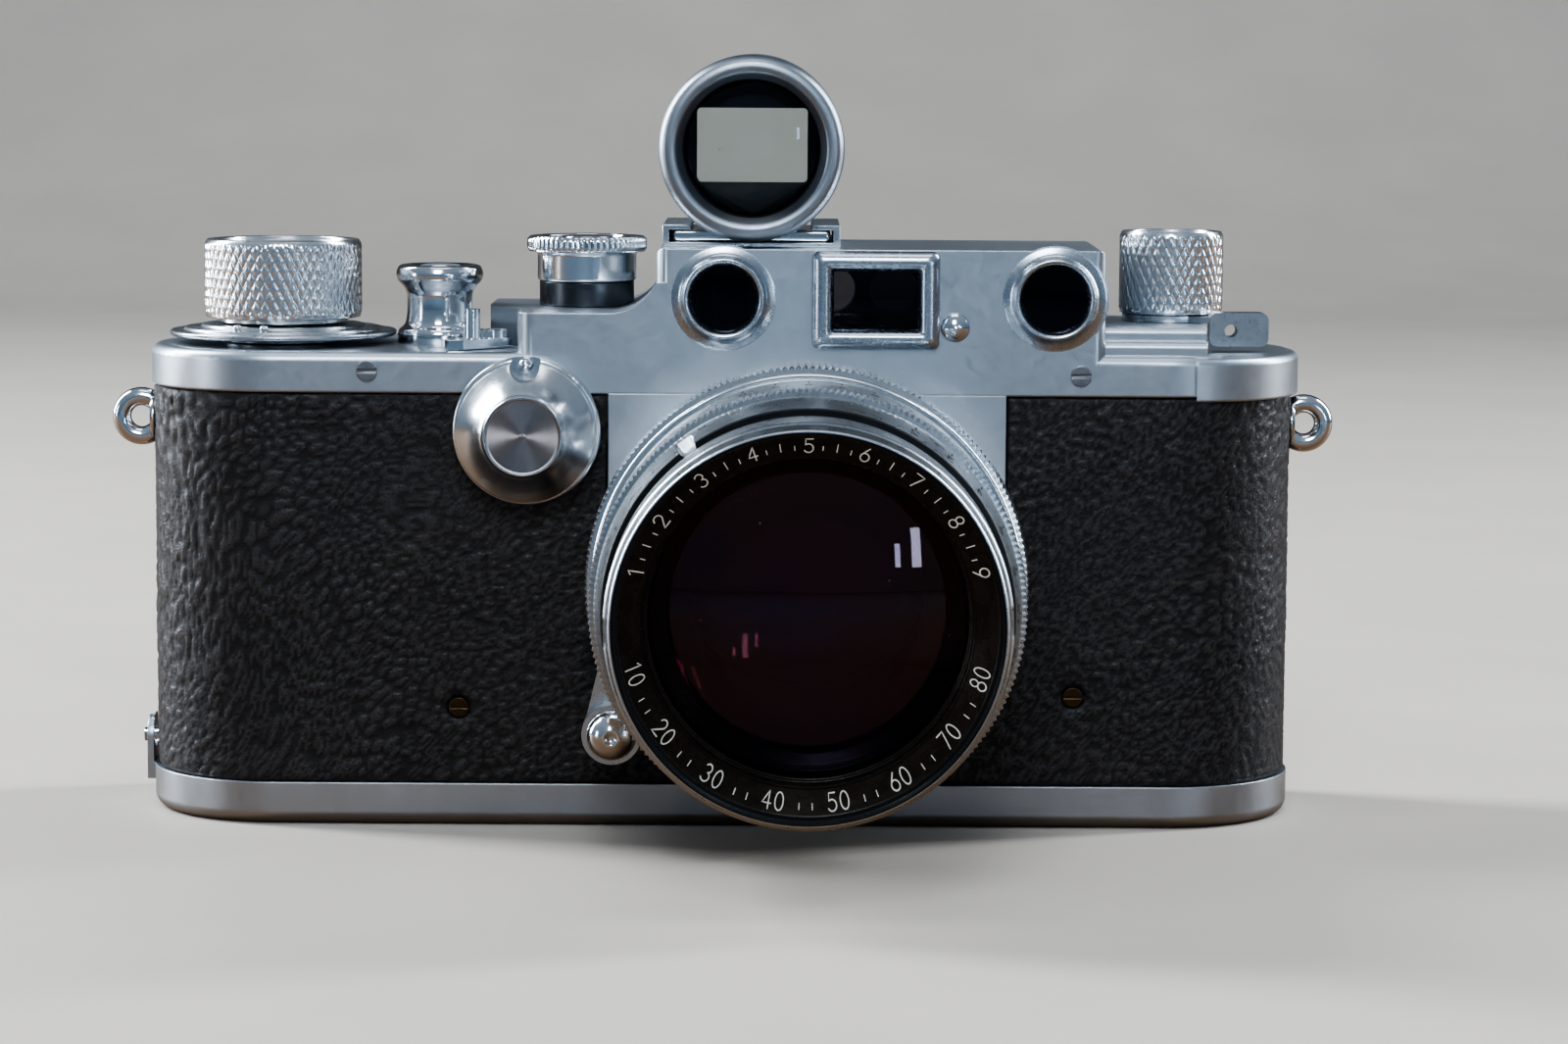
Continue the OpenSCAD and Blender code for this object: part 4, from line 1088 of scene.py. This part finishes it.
def softbox(name, azimuth, elevation, distance, width, height, power, colour):
    """Rectangular light facing the camera body. Azimuth 0 is in front, 90 to its right."""
    a, e = math.radians(azimuth), math.radians(elevation)
    target = Vector((0.005, -0.01, 0.045))
    back = Vector((math.sin(a) * math.cos(e), -math.cos(a) * math.cos(e), math.sin(e)))
    data = bpy.data.lights.new(name, "AREA")
    data.shape = "RECTANGLE"
    data.size, data.size_y = width, height
    data.energy = power
    data.color = colour
    light = add_object(name, data)
    light.location = target + back * distance
    light.rotation_mode = "QUATERNION"
    light.rotation_quaternion = back.to_track_quat("Z", "Y")
    return light


def share_with(light, state, *names):
    """Light only the named pieces (INCLUDE) or all but them (EXCLUDE)."""
    group = bpy.data.collections.new(f"{light.name}_receivers")
    for name in names:
        group.objects.link(bpy.data.objects[name])
    light.light_linking.receiver_collection = group
    for entry in group.collection_objects:
        entry.light_linking.link_state = state


def build_world():
    world = bpy.data.worlds.new("studio")
    bpy.context.scene.world = world
    world.use_nodes = True
    tree = world.node_tree
    tree.nodes.clear()
    out = tree.nodes.new("ShaderNodeOutputWorld")
    glow = tree.nodes.new("ShaderNodeBackground")
    coord = tree.nodes.new("ShaderNodeTexCoord")
    split = tree.nodes.new("ShaderNodeSeparateXYZ")
    ramp = tree.nodes.new("ShaderNodeValToRGB")
    tree.links.new(coord.outputs["Generated"], split.inputs[0])
    tree.links.new(split.outputs["Z"], ramp.inputs[0])
    ramp.color_ramp.elements[0].position = 0.0
    ramp.color_ramp.elements[0].color = (0.115, 0.16, 0.205, 1)
    ramp.color_ramp.elements[1].position = 0.75
    ramp.color_ramp.elements[1].color = (0.21, 0.25, 0.30, 1)
    tree.links.new(ramp.outputs[0], glow.inputs[0])
    glow.inputs[1].default_value = 0.7
    tree.links.new(glow.outputs[0], out.inputs[0])


build_floor()
build_world()
COOL = (0.86, 0.93, 1.0)
front = softbox("window_front", -4, 33, 1.1, 0.30, 0.42, 2.6, COOL)
softbox("strip_left", -109, 26, 0.9, 0.18, 0.85, 7.5, COOL)
softbox("strip_right", 108, 26, 0.9, 0.12, 0.75, 4.2, COOL)
softbox("low_left", -69, 3, 0.9, 0.10, 0.35, 0.6, COOL)
low_right = softbox("low_right", 34, 3, 0.9, 0.05, 0.10, 0.12, COOL)
softbox("overhead", 0, 80, 1.0, 0.55, 0.35, 0.6, (1.0, 0.98, 0.96))
RINGS = ("focus_ring_milled", "aperture_ring_milled", "front_rim_threaded")
share_with(front, "EXCLUDE", "front_glass", "inner_glass", "finder_front_lens", *RINGS)
share_with(low_right, "EXCLUDE", "front_glass", "inner_glass")
for side in (-1, 1):
    spark = softbox(f"ring_light_{(side + 3) // 2}", side * 52, 48, 0.8, 0.05, 0.05, 0.5, COOL)
    share_with(spark, "INCLUDE", *RINGS)
for k, (size, tall) in enumerate(((0.028, 0.12), (0.05, 0.2), (0.026, 0.07))):
    softbox(f"pane_{k + 1}", 21 + 4.4 * k, 6.5 + 1.6 * k, 1.3, size, tall, 20 * size * tall,
            (0.6, 0.76, 1.0))


# ---- camera --------------------------------------------------------

def build_camera():
    data = bpy.data.cameras.new("camera")
    data.sensor_width = 36
    data.lens = 98.1
    data.clip_start, data.clip_end = 0.01, 20
    camera = add_object("camera", data)
    pitch, roll = math.radians(90 - 6.5), math.radians(0.36)
    camera.matrix_world = (Matrix.Translation((0.0074, -0.508, 0.092))
                           @ Matrix.Rotation(pitch, 4, "X") @ Matrix.Rotation(roll, 4, "Z"))
    bpy.context.scene.camera = camera


build_camera()
settings = bpy.context.scene.view_settings
settings.view_transform = "AgX"
settings.look = "AgX - High Contrast"
settings.exposure = 0.66
